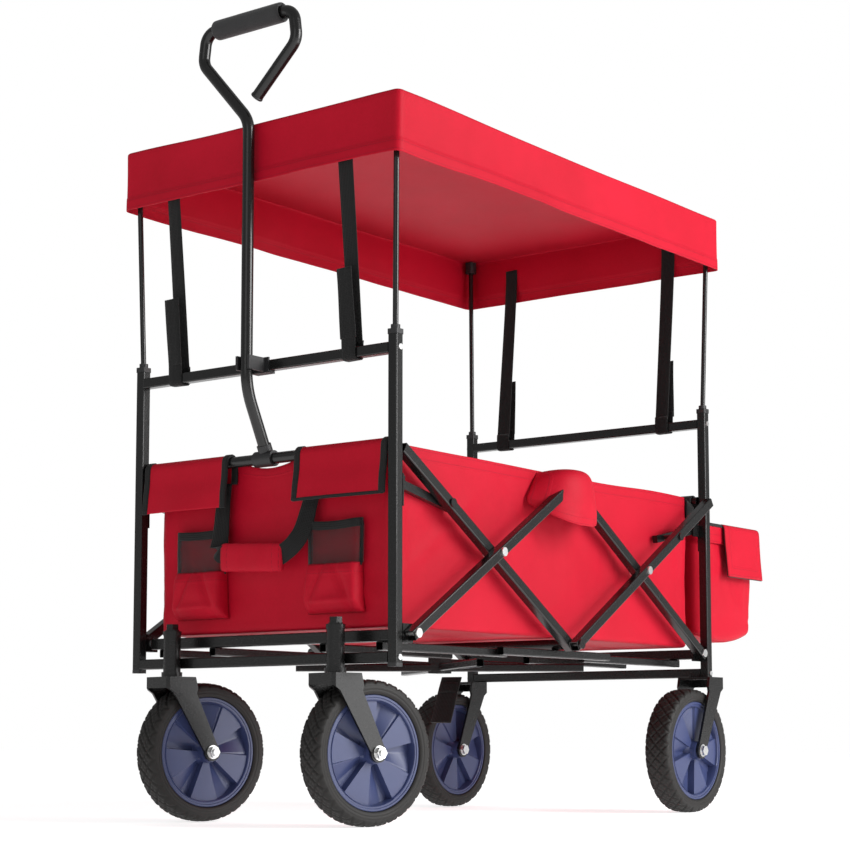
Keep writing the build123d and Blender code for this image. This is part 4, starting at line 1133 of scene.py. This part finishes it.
lid_half = ((lid_high.x - lid_low.x) / 2, (lid_high.y - lid_low.y) / 2)
lid_middle = ((lid_high.x + lid_low.x) / 2, 0)
lid_top = cloth_box("bag_lid_top", lid_middle, (lid_half[0] - 0.0005, lid_half[1]), 0.017, lid_high.z - 0.001,
                    lid_low.z, lid_shape, red_cloth, bend=0.003)
freeze(lid_top, 0.0014)
places, out, run = outline(lid_half[0] + 0.0005, lid_half[1] + 0.0010, 0.018, 0.006)
round_edge = np.c_[places + np.array(lid_middle), np.full(len(places), lid_high.z - 0.0015)]
piping = ribbon("bag_lid_piping", np.vstack([round_edge, round_edge[:1]]), (0, 0, 1), 0.0052, 0.0040, webbing)
FLAP_FALL = [(0.0, 0.0035), (0.0045, 0.001), (0.0068, -0.006), (0.0082, -0.032), (0.0098, -0.060), (0.0125, -0.086)]
flap_x = np.linspace(lid_high.x - 0.118, lid_high.x + 0.006, 26)[None, :]
flap_drop = curve_through(FLAP_FALL, 0.004)
out_y, down = flap_drop[:, :1], flap_drop[:, 1:2]
bow = 0.0018 * swell(flap_x, down, 97, 0.09) * np.clip(-down / 0.05, 0, 1)
flap_layers = []
for layer, inset, finish in (("outer", 0.0, red_cloth), ("lining", 0.0014, dark_cloth)):
    world_points = together(flap_x, -(lid_half[1] + out_y - inset + bow), lid_high.z - 0.002 + down - inset * 0.8)
    weave = together(flap_x, down)
    from_ends = np.minimum(flap_x - flap_x.min(), flap_x.max() - flap_x)
    hem = together(flap_x, np.minimum(down - down.min(), from_ends))
    flap_layers.append(freeze(surface(f"bag_flap_{layer}", world_points, weave, hem, finish), 0.0012))
lid = join("rear_bag_piped_lid", lid_top, piping, *flap_layers)
print("bag", faces(bag), "lid", faces(lid), "faces")

# %% [markdown]
# ## Rear edge
# At the rear the tub's top edge is carried by a black sleeve over the rear rim tube. It is the
# front flap's section with a shorter drop, swept across the whole width, and at each end a small
# gusset joins it to the tub's corner.

# %% Rear sleeve
sleeve_line = curve_through(flap_line(drop=0.030, stand=0.002, behind=0.036), 0.004)
sleeve_run = distance(sleeve_line)
across = np.linspace(-TUB_HALF - 0.006, TUB_HALF + 0.006, 90)
s, a = np.meshgrid(sleeve_run, across, indexing="ij")
slack = 0.0010 * (1 + swell(a, s, 101, 0.09)) * np.clip((s - 0.05) / 0.02, 0, 1)
sleeve_points = together(MID + RIM_X + sleeve_line[:, :1] + slack, a, RIM_Z + sleeve_line[:, 1:2])
weave, hem = np.stack([a, s], axis=-1), np.stack([a, sleeve_run[-1] - s], axis=-1)
rear_sleeve = surface("rear_rim_sleeve", sleeve_points, weave, hem, dark_cloth)
freeze(rear_sleeve, 0.0015)
gussets = []
for side in SIDES.values():
    corner_top = np.array([MID + PANEL_X - 0.004, side * (TUB_HALF + 0.001), TUB_TOP - 0.001])
    spread = np.linspace(0, 1, 9)[:, None, None]
    fall = np.linspace(0, 1, 12)[None, :, None]
    near_line = corner_top + np.array([0, 0, -0.048]) * fall
    rim_end = np.array([MID + RIM_X + 0.002, side * (TUB_HALF + 0.005), RIM_Z - 0.002])
    far_line = rim_end + np.array([-0.004, 0, -0.020]) * fall
    belly = np.array([0, side * 0.004, -0.006]) * np.sin(spread * math.pi) * (1 - fall * 0.3)
    skin = near_line * (1 - spread) + far_line * spread + belly
    weave = together(spread[..., 0] * 0.02, fall[..., 0] * 0.048)
    gussets.append(freeze(surface(f"gusset{side}", skin, weave, weave + 0.03, dark_cloth), 0.0014))
rear_sleeve = join("rear_rim_sleeve", rear_sleeve, *gussets)
print("rear sleeve", faces(rear_sleeve), "faces")

# %% [markdown]
# ## Closing strap
# The strap that holds the folded wagon shut hangs below the floor's hub. It is one short ribbon
# with a second layer where it is sewn back on itself.

# %% Closing strap
strap_low, strap_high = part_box("closing_strap")
closing_points = [(strap_high.x - 0.004, 0, strap_high.z - 0.004), (strap_high.x - 0.014, 0, strap_high.z - 0.026),
                  (strap_low.x + 0.012, 0, strap_low.z + 0.024), (strap_low.x + 0.003, 0, strap_low.z + 0.002)]
closing_line = curve_through(closing_points, 0.003)
closing = ribbon("floor_closing_strap", closing_line, (0, 1, 0.06), 0.038, 0.0024, webbing)
patch_line = closing_line[3:9] - np.array([0.0018, 0, 0])
stitch_patch = ribbon("closing_patch", patch_line, (0, 1, 0.06), 0.032, 0.0016, webbing)
closing = join("floor_closing_strap", closing, stitch_patch)
print("closing strap", faces(closing), "faces")

# %% [markdown]
# ## Foam grip and end plug
# The handle's foam sleeve is turned on the tube's line: a profile of (place along, share of the
# radius) swept round it, with rounded ends and the faint swelling of soft foam. The plug closes
# the tube's free end and follows that end's slant.

# %% Foam grip and end plug
grip_low, grip_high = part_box("handle_grip")
FOAM_R, FOAM_HALF = 0.0145, 0.064
foam_x, foam_z = grip_low.x + FOAM_R, grip_high.z - FOAM_R
half_profile = [(0.5, 0.985), (0.94, 1.0), (0.975, 0.97), (0.993, 0.90), (1, 0.80), (1, 0.60)]
profile = [(-place, share) for place, share in half_profile[::-1]] + [(0, 1.0)] + half_profile
turn = np.linspace(0, 2 * math.pi, 48, endpoint=False)
turned = []
for place, share in profile:
    radius = FOAM_R * share
    turned.append(together(foam_x + radius * np.cos(turn), place * FOAM_HALF, foam_z + radius * np.sin(turn)))
foam_grip = freeze(surface("handle_foam_grip", np.array(turned), finish=foam, ring=True, tube=True), 0, 1)
plug_way = unit(np.array([0.0, 0.7366, -0.6764]))
plug_foot = np.array([foam_x, -0.016, 1.032])
side_a, side_b = np.array([1.0, 0, 0]), np.cross(plug_way, [1.0, 0, 0])
turn = np.linspace(0, 2 * math.pi, 32, endpoint=False)[:, None]
PLUG_PROFILE = ((-0.0005, 0.0040), (-0.0005, 0.0091), (0.0018, 0.0093), (0.0029, 0.0086), (0.0034, 0.0070),
                (0.0036, 0.0010))
circle = side_a * np.cos(turn) + side_b * np.sin(turn)
plug_rows = [plug_foot + plug_way * up + circle * radius for up, radius in PLUG_PROFILE]
end_plug = surface("handle_end_plug", np.array(plug_rows), finish=plastic, ring=True)
close_with(end_plug, range(32))
close_with(end_plug, [5 * 32 + k for k in range(32)][::-1])
print("foam grip", faces(foam_grip), "faces, end plug", faces(end_plug))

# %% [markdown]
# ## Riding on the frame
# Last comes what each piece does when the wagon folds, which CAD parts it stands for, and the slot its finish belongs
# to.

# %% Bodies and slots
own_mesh(basket)
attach(basket, "front_frame")
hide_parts("basket_front", "basket_middle", "basket_rear")
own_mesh(canopy)
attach(canopy, "front_frame")
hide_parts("canopy")
for name, side in SIDES.items():
    cloth, binding_and_shadow_strip = flaps[name]
    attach(cloth, "front_frame")
    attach(binding_and_shadow_strip, "front_frame")
    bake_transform(hoods[name])
pieces = [(carry, "front_frame", "black_webbing"), (grip, "front_frame", "red_cloth"),
          (canopy_straps["front"], "front_frame", "black_webbing"),
          (canopy_straps["rear"], "rear_frame", "black_webbing"),
          (bag, "rear_frame", "red_cloth"), (lid, "bag_lid", "red_cloth"),
          (rear_sleeve, "rear_frame", "black_webbing"), (closing, "middle_floor", "black_webbing"),
          (foam_grip, "pull_handle", "grip_foam"), (end_plug, "pull_handle", "black_plastic")]
pieces += [(pocket_piece, "front_frame", "red_cloth") for pocket_piece in pockets.values()]
for wheel in WHEELS:
    pieces += [(tyres[wheel], wheel + "_wheel", "tyre_rubber"), (hubs[wheel], wheel + "_wheel", "hub_plastic")]
    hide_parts(wheel + "_tyre")
    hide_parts(wheel + "_hub")
for piece, body, finish_slot in pieces:
    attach(piece, body)
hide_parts("front_flaps_and_grip")
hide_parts("carry_strap")
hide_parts("front_canopy_straps")
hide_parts("rear_canopy_straps")
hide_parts("rear_bag")
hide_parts("rear_bag_lid")
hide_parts("closing_strap")
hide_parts("handle_grip")
print(len(pieces) + 2 * len(SIDES) + 2, "pieces ride on the frame")

# %% [markdown]
# ## Sheets of cloth
# Cloth hardly stretches, so each sheet's area must agree with the piece it was cut as. The cut sizes of the sheets
# are not worked out here.

# %% Sheets
print(5 + 3 * len(SIDES), "sheets of cloth have their cut sizes")


# %% [markdown]
# ## Studio
# A pale floor, a white surround and large soft lamps give the even light of a plain white studio.
# The big lamp stands on the left side of the wagon, so that side is bright and the front end is in soft shade.

# %% Floor, surround and lamps
floor_finish = Finish("pale_studio_floor", (0.88, 0.88, 0.88), 0.55, Emission_Color=(1, 1, 1, 1),
                      Emission_Strength=0.70, Specular_IOR_Level=0.2)
mottle = floor_finish.noise(floor_finish.here(), 3.0, 2.0)
floor_finish.set("Roughness", 0.5 + mottle * 0.1)
floor_points = [[(x, y, 0.0) for x in (-14, 14)] for y in (-14, 14)]
studio_floor = surface("studio_floor", floor_points, finish=floor_finish)

world = bpy.context.scene.world or bpy.data.worlds.new("studio")
bpy.context.scene.world = world
world.use_nodes = True
surround = world.node_tree
sky = surround.nodes["Background"]
sky.inputs["Color"].default_value = (1, 1, 1, 1)
seen = surround.nodes.new("ShaderNodeLightPath").outputs["Is Camera Ray"]
strength = surround.nodes.new("ShaderNodeMapRange")
strength.inputs["To Min"].default_value, strength.inputs["To Max"].default_value = 0.34, 1.0
surround.links.new(seen, strength.inputs["Value"])
surround.links.new(strength.outputs[0], sky.inputs["Strength"])
bpy.context.scene.view_settings.view_transform = "Standard"


def lamp(name, place, aim, size, watts):
    """Square area lamp that shines at a point."""
    light = bpy.data.lights.new(name, "AREA")
    light.size, light.energy = size, watts
    made = bpy.data.objects.new(name, light)
    bpy.context.scene.collection.objects.link(made)
    made.location = place
    made.rotation_euler = (Vector(aim) - Vector(place)).to_track_quat("-Z", "Y").to_euler()
    return made


KEY_WATTS, FILL_WATTS, LOW_WATTS = 128, 7, 6
lamp("side_softbox", (0.9, -3.2, 1.7), (0.1, 0, 0.45), 2.0, KEY_WATTS)
lamp("front_fill", (-3.4, -0.9, 1.6), (-0.3, 0, 0.4), 1.6, FILL_WATTS)
lamp("low_fill", (0.4, -1.6, 0.25), (0.1, 0, 0.9), 1.0, LOW_WATTS)
print("lamps", KEY_WATTS, FILL_WATTS, LOW_WATTS, "watts")

# %% [markdown]
# ## Camera
# The camera stands low beside the front left corner and looks slightly up, so the canopy's
# underside shows. The view is shifted upwards a little instead of tilting the camera more, which
# keeps the upright tubes nearly parallel.

# %% Camera
camera_data = bpy.data.cameras.new("camera")
camera = bpy.data.objects.new("camera", camera_data)
bpy.context.scene.collection.objects.link(camera)
YAW, PITCH = math.radians(37.26), math.radians(6.02)
camera.location = (-2.587, -1.89, 0.12)
ahead = Vector((math.cos(PITCH) * math.cos(YAW), math.cos(PITCH) * math.sin(YAW), math.sin(PITCH)))
camera.rotation_euler = ahead.to_track_quat("-Z", "Y").to_euler()
camera_data.lens, camera_data.sensor_width, camera_data.shift_y = 84.8, 36.0, 0.12
bpy.context.scene.camera = camera
print("camera at", [round(place, 3) for place in camera.location])

# %% Last update
bpy.context.view_layer.update()
